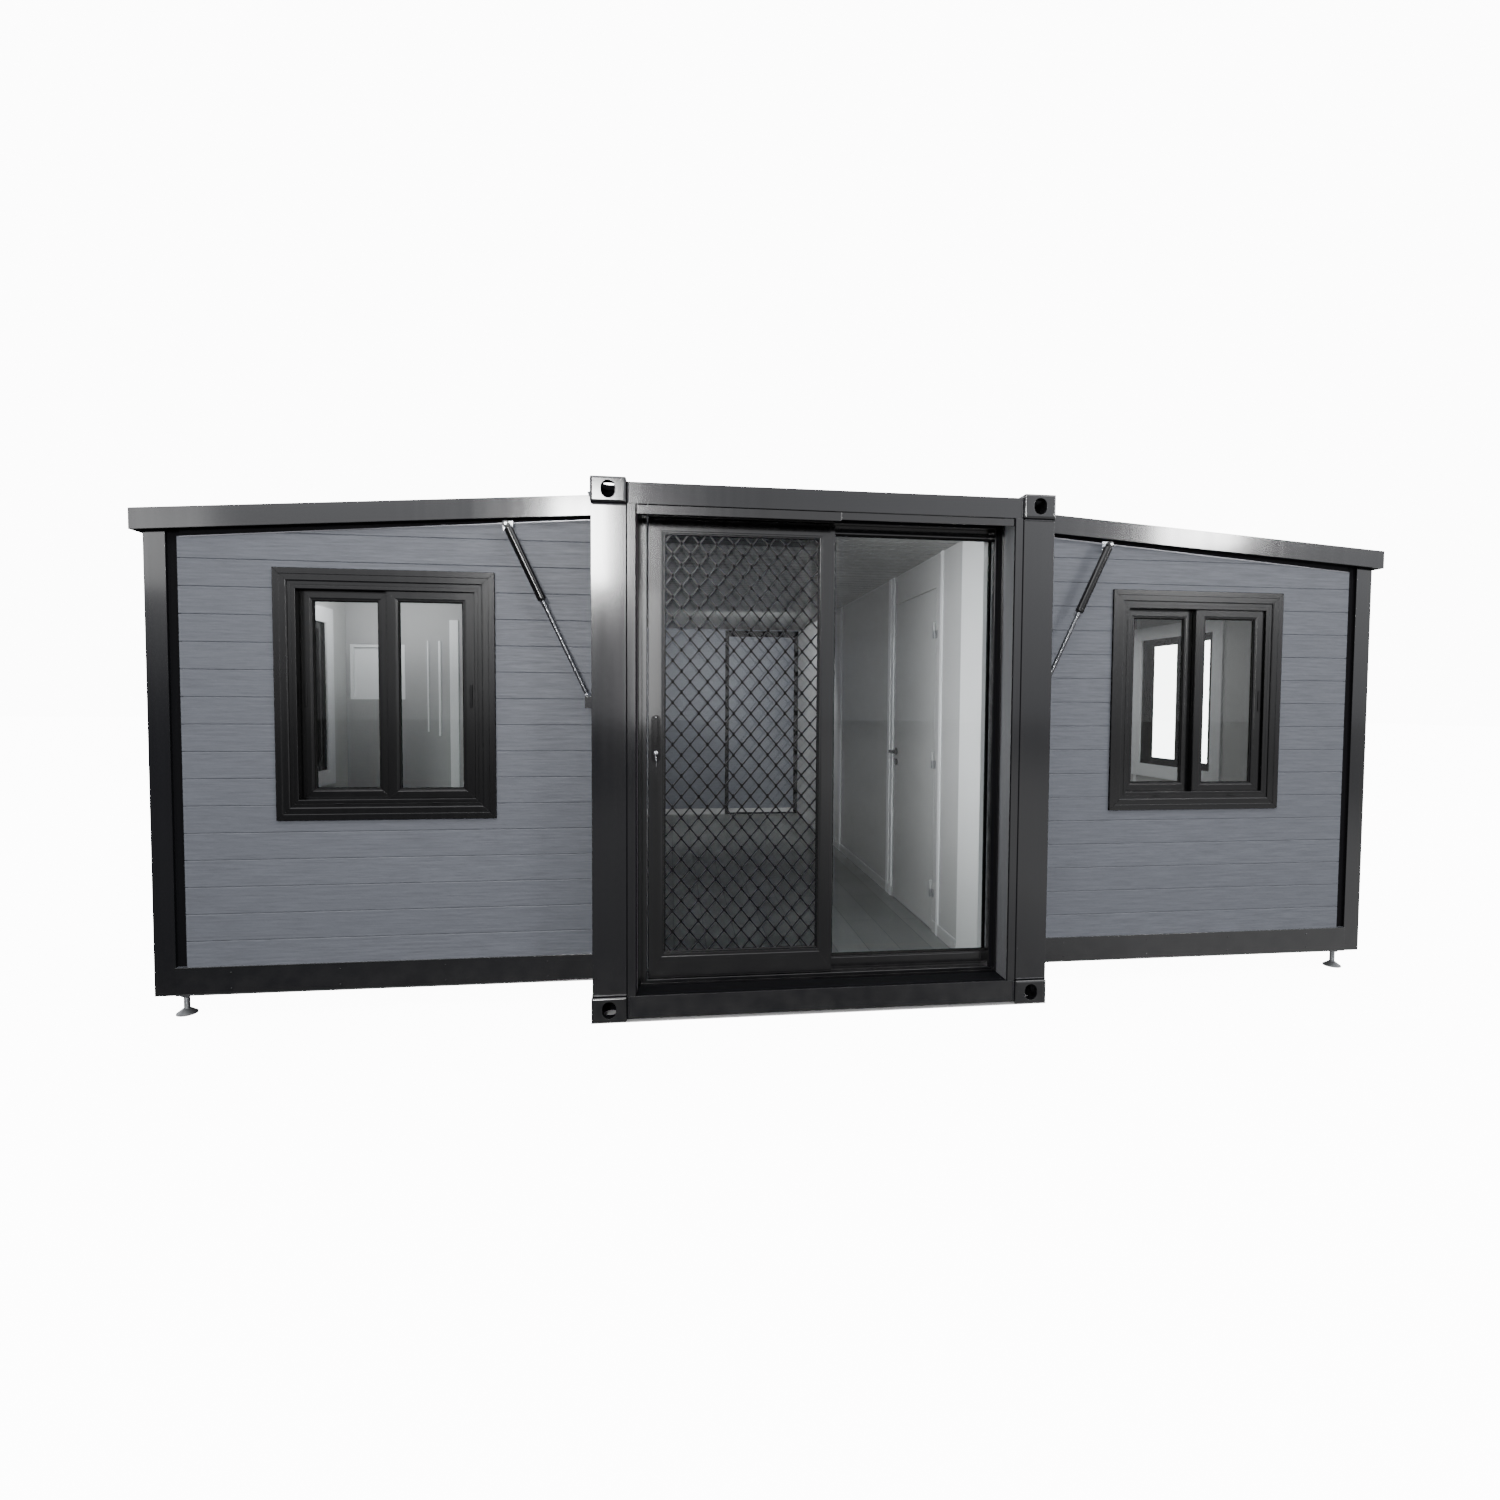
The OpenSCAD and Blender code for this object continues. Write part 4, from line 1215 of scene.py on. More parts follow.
@dataclass
class Roof(Part):
    """Coated ribs, edge flashings, fascia lips and the seals beside the core."""

    flashing_w: float = 0.062
    sheet: float = 0.0018
    lip_w: float = 0.024
    rib_pitch: float = 0.250
    rib_count: int = 10
    rib_foot: float = 0.040
    rib_top: float = 0.018
    rib_h: float = 0.012
    rib_inset: float = 0.065
    coat: float = 0.0006
    joint: float = 0.001

    def slab(
        self, shape: Shape, side: int, xs: tuple[float, float], ys: tuple[float, float],
        rise: tuple[float, float],
    ) -> None:
        """Adds a slab that follows the roof's slope.

        Args:
            shape: The piece that it goes into.
            side: 1 on the right wing, -1 on the left one.
            xs: Its inner and outer distance from the middle.
            ys: Its two ends.
            rise: Its underside and its top over the roof's top.
        """
        ends = sorted(ys)
        corners = [(ends[i], rise[j]) for i, j in ((0, 0), (1, 0), (1, 1), (0, 1))]
        shape.loft([
            [(side * x, y, self.plan.roof_top(x) + dz) for y, dz in corners] for x in xs
        ])

    def edging(
        self, shape: Shape, xs: Point, ys: tuple[float, float], half: float,
        rise: tuple[float, float],
    ) -> None:
        """Runs strips along the three outer edges of both wing roofs.

        Args:
            shape: The piece that they go into.
            xs: Distance from the middle of the side strips' start, and of the outer
                strip's two edges.
            ys: The two edges of a side strip.
            half: Half the length of the outer strip.
            rise: Underside and top over the roof's top.
        """
        for side in (-1, 1):
            self.slab(shape, side, (xs[1], xs[2]), (-half, half), rise)
            for way in (-1, 1):
                ends = (way * ys[0], way * ys[1])
                self.slab(shape, side, (xs[0], xs[1] - self.joint), ends, rise)

    def ribs(self) -> Item:
        """Coats the pressed ribs of the three roof sheets."""
        shape = Shape()
        foot, top = self.rib_foot / 2 + self.coat, self.rib_top / 2 + self.coat
        rise, inset = self.rib_h + self.coat, self.rib_inset
        low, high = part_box("core_roof")
        deck = high.z - self.rib_h
        runs = [((low.x + inset, deck), (high.x - inset, deck))]
        ends = (self.plan.roof_start.x + inset / 2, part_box("roof_fascias")[1].x - inset)
        for side in (-1, 1):
            runs.append(tuple((side * x, self.plan.roof_top(x)) for x in ends))
        for i in range(-self.rib_count, self.rib_count + 1):
            y = i * self.rib_pitch
            for run in runs:
                shape.loft([
                    [
                        (x, y - foot, z - self.coat), (x, y + foot, z - self.coat),
                        (x, y + top, z + rise), (x, y - top, z + rise),
                    ]
                    for x, z in run
                ])
        return shape.finish("roof_ribs", ROOF, self.effects)

    def flashings(self) -> Item:
        """Lays flat flashings round the outer edges of the wing roofs."""
        shape = Shape()
        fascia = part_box("roof_fascias")[1]
        edge, width = 0.002, self.flashing_w
        outer = fascia.x - edge
        self.edging(
            shape, (self.plan.roof_start.x + 0.002, outer - width, outer),
            (fascia.y - edge, fascia.y - width), fascia.y - edge, (0.0, self.sheet),
        )
        return shape.finish("roof_flashings", FRAME_PAINT, self.effects)

    def lips(self) -> Item:
        """Folds the foot of each fascia inward, in matte black: painted shade in the gap under the
        fascia.
        """
        shape = Shape()
        low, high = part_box("roof_fascias")
        drop = self.plan.roof_top(high.x) - low.z
        thick, tuck = 0.005, 0.0005
        inner = high - Vector((1, 1, 0)) * (thick + self.lip_w)
        outer = high - Vector((1, 1, 0)) * (thick - tuck)
        self.edging(
            shape, (self.plan.roof_start.x + 0.004, inner.x, outer.x), (inner.y, outer.y),
            high.y - thick, (-drop, -drop + self.sheet),
        )
        return shape.finish("fascia_lips", PAINTED_SHADE, self.effects)

    def seals(self) -> Item:
        """Lays a bulb seal over the joint between the core and each wing roof."""
        shape = Shape()
        start = self.plan.roof_start
        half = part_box("side_top_beams")[1].y - 0.01
        for side in (-1, 1):
            section = [
                (-0.030, 0.004), (-0.012, 0.006), (-0.008, 0.013), (0.0, 0.017),
                (0.008, 0.013), (0.012, 0.004), (0.034, -0.002), (0.034, -0.004),
                (0.0, -0.001), (-0.030, 0.001),
            ]
            rings = [
                [(side * (start.x + dx), y, start.z + 0.003 + dz) for dx, dz in section]
                for y in (-half, half)
            ]
            shape.loft(rings)
        return shape.finish("roof_joint_seals", RUBBER, self.effects, smooth=50.0)

    def screws(self) -> Item:
        """Sets screws along the flashings."""
        shape = Shape()
        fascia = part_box("roof_fascias")[1]
        x = fascia.x - 0.03
        z = self.plan.roof_top(x) + self.sheet
        count = 14
        for side in (-1, 1):
            for i in range(count):
                y = -fascia.y + 0.12 + (2 * fascia.y - 0.24) * i / (count - 1)
                shape.screw((side * x, y, z - 0.0003), (side * self.plan.slope, 0, 1), 0.006)
        return shape.finish("flashing_screws", DULL_STEEL, self.effects)

    def build(self) -> list[Item]:
        """Builds the roof's pieces."""
        return [self.ribs(), self.flashings(), self.lips(), self.seals(), self.screws()]


# ---- steel core


@dataclass
class CoreFrame(Part):
    """Black lines of painted shadow at the seams, and weld beads, of the core's steel frame."""

    seam: float = 0.0060
    proud: float = 0.0008
    bead_r: float = 0.0032
    clear: float = 0.002
    seed: int = 7

    def seams(self) -> Item:
        """Draws black lines of painted shadow at the seams round the castings and beside the narrow
        posts.
        """
        shape = Shape()
        s, p = self.seam, self.proud
        bottoms = self.plan.solids("bottom_corner_castings")
        tops = self.plan.solids("top_corner_castings")
        for low, high in self.plan.solids("corner_posts"):
            for ends in (bottoms, tops):
                casting = nearest(ends, (low, high))
                level = casting[1].z if ends is bottoms else casting[0].z
                zs = (level, level + s) if ends is bottoms else (level - s, level)
                shape.block((low.x - p, low.y - p, zs[0]), (high.x + p, high.y + p, zs[1]))
        for name in ("end_header_beams", "end_sill_beams"):
            for low, high in self.plan.solids(name):
                for x in (low.x, high.x - s):
                    shape.block((x, low.y - p, low.z - p), (x + s, high.y + p, high.z + p))
        for low, high in self.plan.solids("door_side_posts"):
            for x in (low.x, high.x):
                shape.block((x - s / 2, low.y - p, low.z), (x + s / 2, low.y + 0.002, high.z))
        return shape.finish("frame_seam_shadows", PAINTED_SHADOW, self.effects)

    def welds(self) -> Item:
        """Lays weld beads where posts and beams meet the castings."""
        shape = Shape()
        chance = random.Random(self.seed)
        edge = 0.004
        for node, way in (("bottom_corner_castings", 1), ("top_corner_castings", -1)):
            for low, high in self.plan.solids(node):
                level = (high.z if way > 0 else low.z) + way * (self.seam + self.clear)
                right, rear = int(low.x > 0), int(low.y > 0)
                post = nearest(self.plan.solids("corner_posts"), (low, high))
                x, y = post[right].x, post[rear].y
                beam = self.plan.solids("end_sill_beams" if way > 0 else "end_header_beams")[rear]
                at = low.x - self.seam - self.clear if right else high.x + self.seam + self.clear
                runs = (
                    ((post[0].x + edge, y, level), (post[1].x - edge, y, level)),
                    ((x, post[0].y + edge, level), (x, post[1].y - edge, level)),
                    ((at, beam[rear].y, beam[0].z + edge), (at, beam[rear].y, beam[1].z - edge)),
                )
                for start, end in runs:
                    shape.bead(start, end, self.bead_r, chance)
        return shape.finish("frame_welds", WELD, self.effects, smooth=50.0)

    def build(self) -> list[Item]:
        """Builds the frame's fine pieces."""
        return [self.seams(), self.welds()]


# ---- windows

CASING = (
    (0.0, -0.010), (0.0, 0.0035), (0.03, 0.0050), (0.46, 0.0050), (0.49, 0.0030),
    (0.93, 0.0030), (1.0, 0.0012), (1.0, -0.004),
)
FRAME_LIP = (
    (0.0, -0.006), (0.0, -0.003), (0.44, -0.003), (0.48, -0.0048), (0.56, -0.0048),
    (0.60, -0.0022), (0.95, -0.0022), (1.0, -0.0036), (1.0, -0.006),
)
SASH = (
    (0.0, -0.002), (0.0, 0.0010), (0.04, 0.0024), (0.80, 0.0024), (0.84, 0.0012),
    (1.0, 0.0006), (1.0, -0.002),
)


@dataclass
class Windows(Part):
    """Mouldings, sash faces, gaskets, grips, weep covers and room trims of the windows."""

    casing_w: float = 0.060
    frame_w: float = 0.035
    gasket_w: float = 0.006
    sash_stile: float = 0.054
    sash_rail: float = 0.045
    trim_t: float = 0.012
    tuck: float = 0.002

    def rim(
        self, name: str, node: str, finish: Finish, insets: tuple[Point, Point],
        section: Sequence[Point], gap: float, inside: bool = False,
    ) -> Item:
        """Sets a mitred frame on each solid of a node.

        Args:
            name: The piece's name.
            node: The node.
            finish: The piece's finish.
            insets: Of the outer and the inner edge, along and up.
            section: Points across a member: share of its width, and out from the face.
            gap: Hairline left open at each mitre.
            inside: Whether it is on the room side.

        Returns:
            The piece.
        """
        shape = Shape()
        for box in self.faced(node, shape):
            outer, inner = (inset(box, *edge) for edge in insets)
            shape.mitred(outer, inner, section, box[0 if inside else 1].z, gap)
        return shape.finish(name, finish, self.effects)

    def rims(self) -> list[Item]:
        """Frames each casing, the fixed frame inside it and the sashes."""
        casing, opening = (self.casing_w,), (self.casing_w + self.frame_w,)
        sash = (self.sash_stile - self.tuck, self.sash_rail - self.tuck)
        lip = (self.casing_w + 0.001,)
        return [
            self.rim(name, node, ALUMINIUM, edges, section, gap)
            for name, node, edges, section, gap in (
                ("window_mouldings", "window_frames", ((0.0,), casing), CASING, 0.0010),
                ("window_frame_lips", "window_frames", (lip, opening), FRAME_LIP, 0.0004),
                ("window_sash_faces", "window_sashes", ((0.0015,), sash), SASH, 0.0004),
            )
        ]

    def room_trims(self) -> Item:
        """Frames each window with a pale trim on its room side."""
        back = -self.trim_t
        section = [(0.0, 0.008), (0.0, back), (1.0, back), (1.0, 0.001)]
        edges = ((-0.004,), (self.casing_w + self.frame_w,))
        return self.rim(
            "window_room_trims", "window_frames", TRIM, edges, section, 0.0005, inside=True
        )

    def gaskets(self) -> Item:
        """Runs a rubber gasket round both faces of each pane."""
        shape = Shape()
        for box in self.faced("window_panes", shape):
            shape.gasket(box, self.gasket_w, 0.006)
        return shape.finish("window_gaskets", RUBBER, self.effects)

    def grips(self) -> Item:
        """Sets a finger grip on each sash and weep covers on each frame."""
        shape = Shape()
        for box in self.plan.solids("window_sashes"):
            facing = Facing.of(box)
            low, high = facing.local(box)
            shape.face(facing)
            middle = (low.y + high.y) / 2
            at = low.x + 0.012 if self.is_inner(facing, low) else high.x - 0.026
            shape.block(
                (at, middle - 0.055, high.z + 0.002), (at + 0.014, middle + 0.055, high.z + 0.0058),
                0.0018,
            )
        for low, high in self.faced("window_frames", shape):
            up = low.y + self.casing_w + 0.010
            for share in (0.28, 0.72):
                at = low.x + share * (high.x - low.x)
                shape.block(
                    (at - 0.017, up, high.z - 0.003), (at + 0.017, up + 0.009, high.z + 0.001),
                    0.0012,
                )
        return shape.finish("window_grips", PLASTIC, self.effects)

    def is_inner(self, facing: Facing, low: Vector) -> bool:
        """True if a sash runs on the track nearer to the room."""
        outs = [facing.local(b)[0].z for b in self.plan.solids("window_sashes")
                if Facing.of(b) == facing]
        return low.z < (min(outs) + max(outs)) / 2

    def build(self) -> list[Item]:
        """Builds the windows' pieces."""
        return [*self.rims(), self.gaskets(), self.grips(), self.room_trims()]


# ---- glazed end

DOOR_LIP = (
    (0.0, -0.001), (0.0, 0.0030), (0.40, 0.0030), (0.43, 0.0005), (0.52, 0.0005),
    (0.55, 0.0035), (0.94, 0.0035), (1.0, 0.0015), (1.0, -0.001),
)


@dataclass
class DoorSet(Part):
    """The sliding doors' lips, faces, gaskets, lattice and lock, and the recess round them."""

    jamb_w: float = 0.045
    head_h: float = 0.026
    track_h: float = 0.030
    sheet: float = 0.0015
    plate_t: float = 0.003
    screen_drop: float = 0.040
    fixed_drop: float = 0.034
    diamond_w: float = 0.083
    diamond_h: float = 0.100
    knot_r: float = 0.0072
    gasket_w: float = 0.008

    def frame_lips(self) -> Item:
        """Sets the stepped lips round the door frame."""
        low, high = Facing.FRONT.local(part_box("door_frame"))
        shape = Shape(Facing.FRONT)
        inner = (
            low.x + self.jamb_w, low.y + self.track_h, high.x - self.jamb_w, high.y - self.head_h,
        )
        shape.mitred(inset((low, high), 0.0005), inner, DOOR_LIP, high.z)
        return shape.finish("door_frame_lips", DOOR_ALUMINIUM, self.effects)

    def reveal(self) -> Item:
        """Lines the sides of the recess in front of the door frame with grey sheet, painted light
        on the dark steel side faces.
        """
        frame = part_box("door_frame")
        front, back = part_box("end_header_beams")[0].y, frame[0].y
        foot, head = frame[0].z, frame[1].z
        sheet = self.sheet
        shape = Shape()
        for side in (-1, 1):
            edge, face = side * frame[1].x, side * (frame[1].x - sheet)
            shape.block((edge, front + 0.004, foot + sheet), (face, back, head - sheet))
        return shape.finish("door_reveal_painted_light", PAINTED_LIGHT_REVEAL, self.effects)

    def threshold(self) -> Item:
        """Lays a thin matte black sheet on the ledge in front of the door frame, painted shade."""
        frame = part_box("door_frame")
        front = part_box("end_sill_beams")[0].y
        shape = Shape()
        shape.block(
            (frame[0].x + self.sheet, front + 0.006, frame[0].z - 0.0005),
            (frame[1].x - self.sheet, frame[0].y - 0.004, frame[0].z + 0.002), 0.0006,
        )
        return shape.finish("door_threshold_painted_shade", PAINTED_SHADE, self.effects)

    def head_plate(self) -> Item:
        """Hangs a cover plate from the header, deeper over the screen leaf."""
        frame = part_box("door_frame")
        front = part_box("end_header_beams")[0].y + 0.004
        left, right = frame[0].x + self.sheet, frame[1].x - self.sheet
        middle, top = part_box("screen_leaf_frame")[1].x, frame[1].z - 0.003
        shape = Shape()
        plates = ((left, middle, self.screen_drop), (middle, right, self.fixed_drop))
        for start, end, drop in plates:
            shape.block((start, front, top - drop), (end, front + self.plate_t, top), 0.0008)
        return shape.finish("door_head_plate", DOOR_ALUMINIUM, self.effects)

    def open_tracks(self) -> Item:
        """Darkens the empty channels beside and above the fixed leaf with matte black blocks,
        painted shade.
        """
        low, high = Facing.FRONT.local(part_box("door_frame"))
        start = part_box("fixed_leaf_frame")[0].x + self.jamb_w
        face, rim, depth = high.z + 0.0005, 0.010, 0.0042
        inner, head = high.x - self.jamb_w + 0.002, high.y - 0.004
        shape = Shape(Facing.FRONT)
        for first, foot, last in (
            (inner, low.y + self.track_h, high.x - rim),
            (start, high.y - self.head_h + 0.002, inner),
        ):
            shape.block((first, foot, face), (last, head, face + depth))
        return shape.finish("open_track_painted_shade", PAINTED_SHADE, self.effects)

    def leaf_faces(
        self, name: str, body: str, leaf: str, pane: str, rise: float
    ) -> Item:
        """Sets the mitred face of a leaf.

        Args:
            name: The piece's name.
            body: The body that it rides on.
            leaf: The leaf frame's node.
            pane: The node in its opening.
            rise: How far the face stands out.

        Returns:
            The piece.
        """
        low, high = Facing.FRONT.local(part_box(leaf))
        opening = Facing.FRONT.local(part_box(pane))
        bottom = max(low.y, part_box("screen_leaf_frame")[0].z + 0.005)
        shape = Shape(Facing.FRONT)
        outer = (low.x + 0.001, bottom, high.x - 0.001, high.y - 0.001)
        section = [
            (0.0, -0.001), (0.0, 0.5 * rise), (0.03, rise), (0.86, rise), (0.89, 0.5 * rise),
            (1.0, 0.4 * rise), (1.0, -0.001),
        ]
        shape.mitred(outer, inset(opening, -0.001), section, high.z, 0.0005)
        return shape.finish(name, DOOR_ALUMINIUM, self.effects, body)

    def gasket(self, name: str, body: str, pane: str) -> Item:
        """Runs a gasket round both faces of a door's pane."""
        shape = Shape(Facing.FRONT)
        shape.gasket(Facing.FRONT.local(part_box(pane)), self.gasket_w, 0.009)
        return shape.finish(name, RUBBER, self.effects, body)

    def knots(self) -> Item:
        """Sets a knot on each crossing of the lattice."""
        low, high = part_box("screen_leaf_grille")
        middle = (low.y + high.y) / 2
        depth = (high.y - low.y) / 2 + 0.0016
        shape = Shape()
        w, h, r = self.diamond_w, self.diamond_h, self.knot_r
        end, edge = 0.55 * r, 0.9 * r
        profile = [(0, end), (0.18, edge), (0.5, r), (0.82, edge), (1, end)]
        for i in range(int((high.x - low.x) / w) + 1):
            for j in range(int((high.z - low.z) / h) + 1):
                for x, z in (((i + 0.5) * w, j * h), (i * w, (j + 0.5) * h)):
                    x, z = low.x + x, low.z + z
                    if not (low.x + r < x < high.x - r and low.z + r < z < high.z - r):
                        continue
                    shape.lathe(
                        (x, middle - depth, z), (x, middle + depth, z), profile, 8, (0.95, 1.45)
                    )
        return shape.finish("lattice_knots", RUBBER, self.effects, "screen_door", 60.0)

    def lattice_rim(self) -> Item:
        """Holds the lattice with a slim bead round the opening."""
        box = Facing.FRONT.local(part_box("screen_leaf_grille"))
        shape = Shape(Facing.FRONT)
        shape.gasket(box, 0.009, 0.005, 0.6, 0.0002)
        return shape.finish("lattice_rim", LATTICE, self.effects, "screen_door")

    def lock(self) -> list[Item]:
        """Details the lock: screws, cylinder, button, two keys on a ring, and a plate line."""
        low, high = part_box("screen_leaf_lock")
        x = (low.x + high.x) / 2
        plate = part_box("screen_leaf_frame")[0].y - 0.0103
        front, z = plate - 0.0115, low.z + 0.044
        key_y, key_z, button_z = front - 0.031, z - 0.034, high.z - 0.032
        key_x = (x + 0.0018, x + 0.0040)
        shape = Shape()
        for level in (low.z + 0.012, high.z - 0.012):
            shape.screw((x, plate + 0.0002, level), (0, -1, 0), 0.0042)
        cylinder = [(0, 0.0112), (0.6, 0.0112), (1, 0.0095)]
        button = [(0, 0.0085), (0.4, 0.0085), (0.75, 0.0070), (1, 0.0035)]
        bow = [(0, 0.0100), (0.3, 0.0112), (0.7, 0.0112), (1, 0.0100)]
        hung_bow = [(0, 0.0100), (0.3, 0.0108), (0.7, 0.0108), (1, 0.0100)]
        for start, end, profile, sides, stretch in (
            ((x, front + 0.001, z), (x, front - 0.0035, z), cylinder, 24, (1.0, 1.0)),
            ((x, plate + 0.001, button_z), (x, plate - 0.010, button_z), button, 20, (1.0, 1.5)),
            ((x - 0.0014, key_y, z), (x + 0.0014, key_y, z), bow, 20, (1.0, 1.15)),
            ((key_x[0], key_y, key_z), (key_x[1], key_y, key_z), hung_bow, 20, (1.0, 1.0)),
        ):
            shape.lathe(start, end, profile, sides, stretch)
        shape.block(
            (x - 0.0012, front - 0.0215, z - 0.0052), (x + 0.0012, front - 0.003, z + 0.0042),
            0.0004,
        )
        shape.block(
            (key_x[0], front - 0.0352, z - 0.064), (key_x[1], front - 0.0270, z - 0.030), 0.0006
        )
        hang, ring_r, count = Vector((x, key_y, z - 0.019)), 0.012, 24
        ring = [
            hang + ring_r * Vector((0, math.sin(a), math.cos(a)))
            for a in (2 * math.pi * i / count for i in range(count))
        ]
        for one, two in zip(ring, ring[1:] + ring[:1]):
            shape.lathe(one, two, [(0, 0.0011), (1, 0.0011)], 6)
        keys = shape.finish("lock_cylinder_and_keys", STEEL, self.effects, "screen_door", 50.0)
        shape = Shape(Facing.FRONT)
        face = Facing.FRONT.local((low, high))
        outer, inner = inset(face, 0.006, 0.022), inset(face, 0.008, 0.024)
        shape.mitred(outer, inner, level_strip(0.0012), -plate, 0.0)
        plate_line = shape.finish("lock_plate_line", PLASTIC, self.effects, "screen_door")
        return [keys, plate_line]

    def glass_pull(self) -> Item:
        """Sets a slim recessed pull on the sliding glass leaf's stile, on its room side."""
        low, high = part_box("glass_leaf_frame")
        shape = Shape(Facing.BACK)
        x = -(low.x + 0.029)
        z = (low.z + high.z) / 2
        outer, inner = (
            (x - w, z - h, x + w, z + h) for w, h in ((0.014, 0.080), (0.009, 0.074))
        )
        shape.mitred(outer, inner, level_strip(0.003), high.y, 0.0)
        return shape.finish("glass_leaf_pull", PLASTIC, self.effects, "glass_door")

    def brushes(self) -> list[Item]:
        """Runs brush seals along the meeting stiles."""
        made = []
        for name, body, node in (
            ("screen_leaf_brush", "screen_door", "screen_leaf_frame"),
            ("glass_leaf_brush", "glass_door", "glass_leaf_frame"),
        ):
            low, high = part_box(node)
            shape = Shape()
            for x in (high.x - 0.012, high.x - 0.030):
                shape.block(
                    (x, high.y - 0.0005, low.z + 0.03), (x + 0.005, high.y + 0.0022, high.z - 0.02),
                    0.0007,
                )
            made.append(shape.finish(name, RUBBER, self.effects, body))
        return made

    def build(self) -> list[Item]:
        """Builds the door set's fine pieces."""
        faces = [
            self.leaf_faces(f"{leaf}_leaf_face", body, f"{leaf}_leaf_frame", pane, rise)
            for leaf, body, pane, rise in (
                ("screen", "screen_door", "screen_leaf_grille", 0.003),
                ("glass", "glass_door", "glass_leaf_pane", 0.002),
                ("fixed", HOUSE, "fixed_leaf_glass", 0.0025),
            )
        ]
        return [
            self.frame_lips(), *faces, self.gasket("fixed_leaf_gasket", HOUSE, "fixed_leaf_glass"),
            self.gasket("glass_leaf_gasket", "glass_door", "glass_leaf_pane"), self.knots(),
            self.lattice_rim(), *self.lock(), self.glass_pull(), *self.brushes(),
            self.reveal(), self.threshold(), self.head_plate(), self.open_tracks(),
        ]


# ---- rooms


@dataclass
class Rooms(Part):
    """Ceiling boards, cover strips, uprights, skirtings and the panel at the far end."""

    board_w: float = 0.098
    board_gap: float = 0.006
    board_t: float = 0.004
    strip_w: float = 0.036
    strip_t: float = 0.004
    upright_t: float = 0.016
    uprights: tuple[tuple[float, float, float, float], ...] = (
        (-2.28, 0.060, 0.186, 2.05), (-2.46, 0.010, 1.25, 1.90), (-2.38, 0.016, 1.22, 1.90),
    )
    side_joints: tuple[float, ...] = (-2.35, -0.72, 0.0, 0.72, 2.35)
    wing_joints: tuple[float, ...] = (1.32, 2.80)
    skirting_h: float = 0.070
    skirting_t: float = 0.009

    def ceilings(self) -> Item:
        """Lays narrow ceiling boards across the core and down both wing roofs, near-black with
        painted shade.
        """
        shape = Shape()
        low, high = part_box("core_roof")
        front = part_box("door_frame")[1].y + 0.004
        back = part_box("core_back_wall")[0].y - 0.004
        step = self.board_w + self.board_gap
        count = int((back - front) / step)
        for i in range(count):
            y = front + i * step
            shape.block(
                (low.x + 0.004, y, low.z - self.board_t),
                (high.x - 0.004, y + self.board_w, low.z - 0.0002), 0.0014,
            )
        start = self.plan.roof_start.x + 0.002
        end = max(abs(c.x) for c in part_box("side_walls")) - self.plan.wall_t - 0.002
        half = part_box("back_wing_walls")[0].y - 0.003
        count = int(2 * half / step)
        for i in range(count):
            y = -half + i * step
            for side in (-1, 1):
                rings = []
                for x in (start, end):
                    top = self.plan.under_roof(x, 0.0006)
                    rings.append([
                        (side * x, y, top), (side * x, y + self.board_w, top),
                        (side * x, y + self.board_w - 0.001, top - self.board_t),
                        (side * x, y + 0.001, top - self.board_t),
                    ])
                shape.loft(rings)
        return shape.finish("ceiling_boards", SHADED_CEILING, self.effects)

    def strips(self) -> Item:
        """Covers the panel joints inside the wings, and sets the left room's uprights."""
        shape = Shape()
        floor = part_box("wing_floors")[1].z
        side_x = max(abs(c.x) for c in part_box("side_walls")) - self.plan.wall_t
        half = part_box("back_wing_walls")[0].y
        top = self.plan.under_roof(side_x, 0.008)
        width, thick = self.strip_w / 2, self.strip_t
        for side in (-1, 1):
            wall, face = side * side_x, side * (side_x - thick)
            for y in self.side_joints:
                shape.block((wall, y - width, floor), (face, y + width, top), 0.001)
            for x in self.wing_joints:
                head = self.plan.under_roof(x + 0.02, 0.008)
                for way in (-1, 1):
                    shape.block(
                        (side * x - width, way * half, floor),
                        (side * x + width, way * (half - thick), head), 0.001,
                    )
        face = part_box("left_room_wall")[0].y
        for x, width, foot, head in self.uprights:
            shape.block(
                (x - width / 2, face - self.upright_t, foot), (x + width / 2, face, head), 0.002
            )
        return shape.finish("panel_cover_strips", TRIM, self.effects)

    def skirtings(self) -> Item:
        """Runs skirtings along the foot of the walls."""
        shape = Shape()
        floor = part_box("wing_floors")[1].z
        side_x = max(abs(c.x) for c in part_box("side_walls")) - self.plan.wall_t
        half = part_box("back_wing_walls")[0].y
        start = self.plan.roof_start.x + 0.01
        t, h = self.skirting_t, self.skirting_h
        for side in (-1, 1):
            wall, end = side * side_x, side * (side_x - 0.0005)
            face = side * (side_x - t)
            shape.block((wall, -half + t, floor), (face, half - t, floor + h), 0.002)
            for way in (-1, 1):
                shape.block(
                    (side * start, way * half, floor), (end, way * (half - t), floor + h), 0.002
                )
        core_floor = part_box("core_floor")[1].z
        low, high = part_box("core_back_wall")
        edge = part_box("partition_back_panel")[0].x
        shape.block((low.x + 0.05, low.y - t, core_floor), (edge, low.y, core_floor + h), 0.002)
        for node in ("partition_front_panel", "partition_back_panel"):
            low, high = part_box(node)
            shape.block(
                (low.x - 0.007, low.y + 0.001, core_floor), (low.x, high.y - 0.012, core_floor + h),
                0.002,
            )
        return shape.finish("skirtings", PANEL, self.effects)

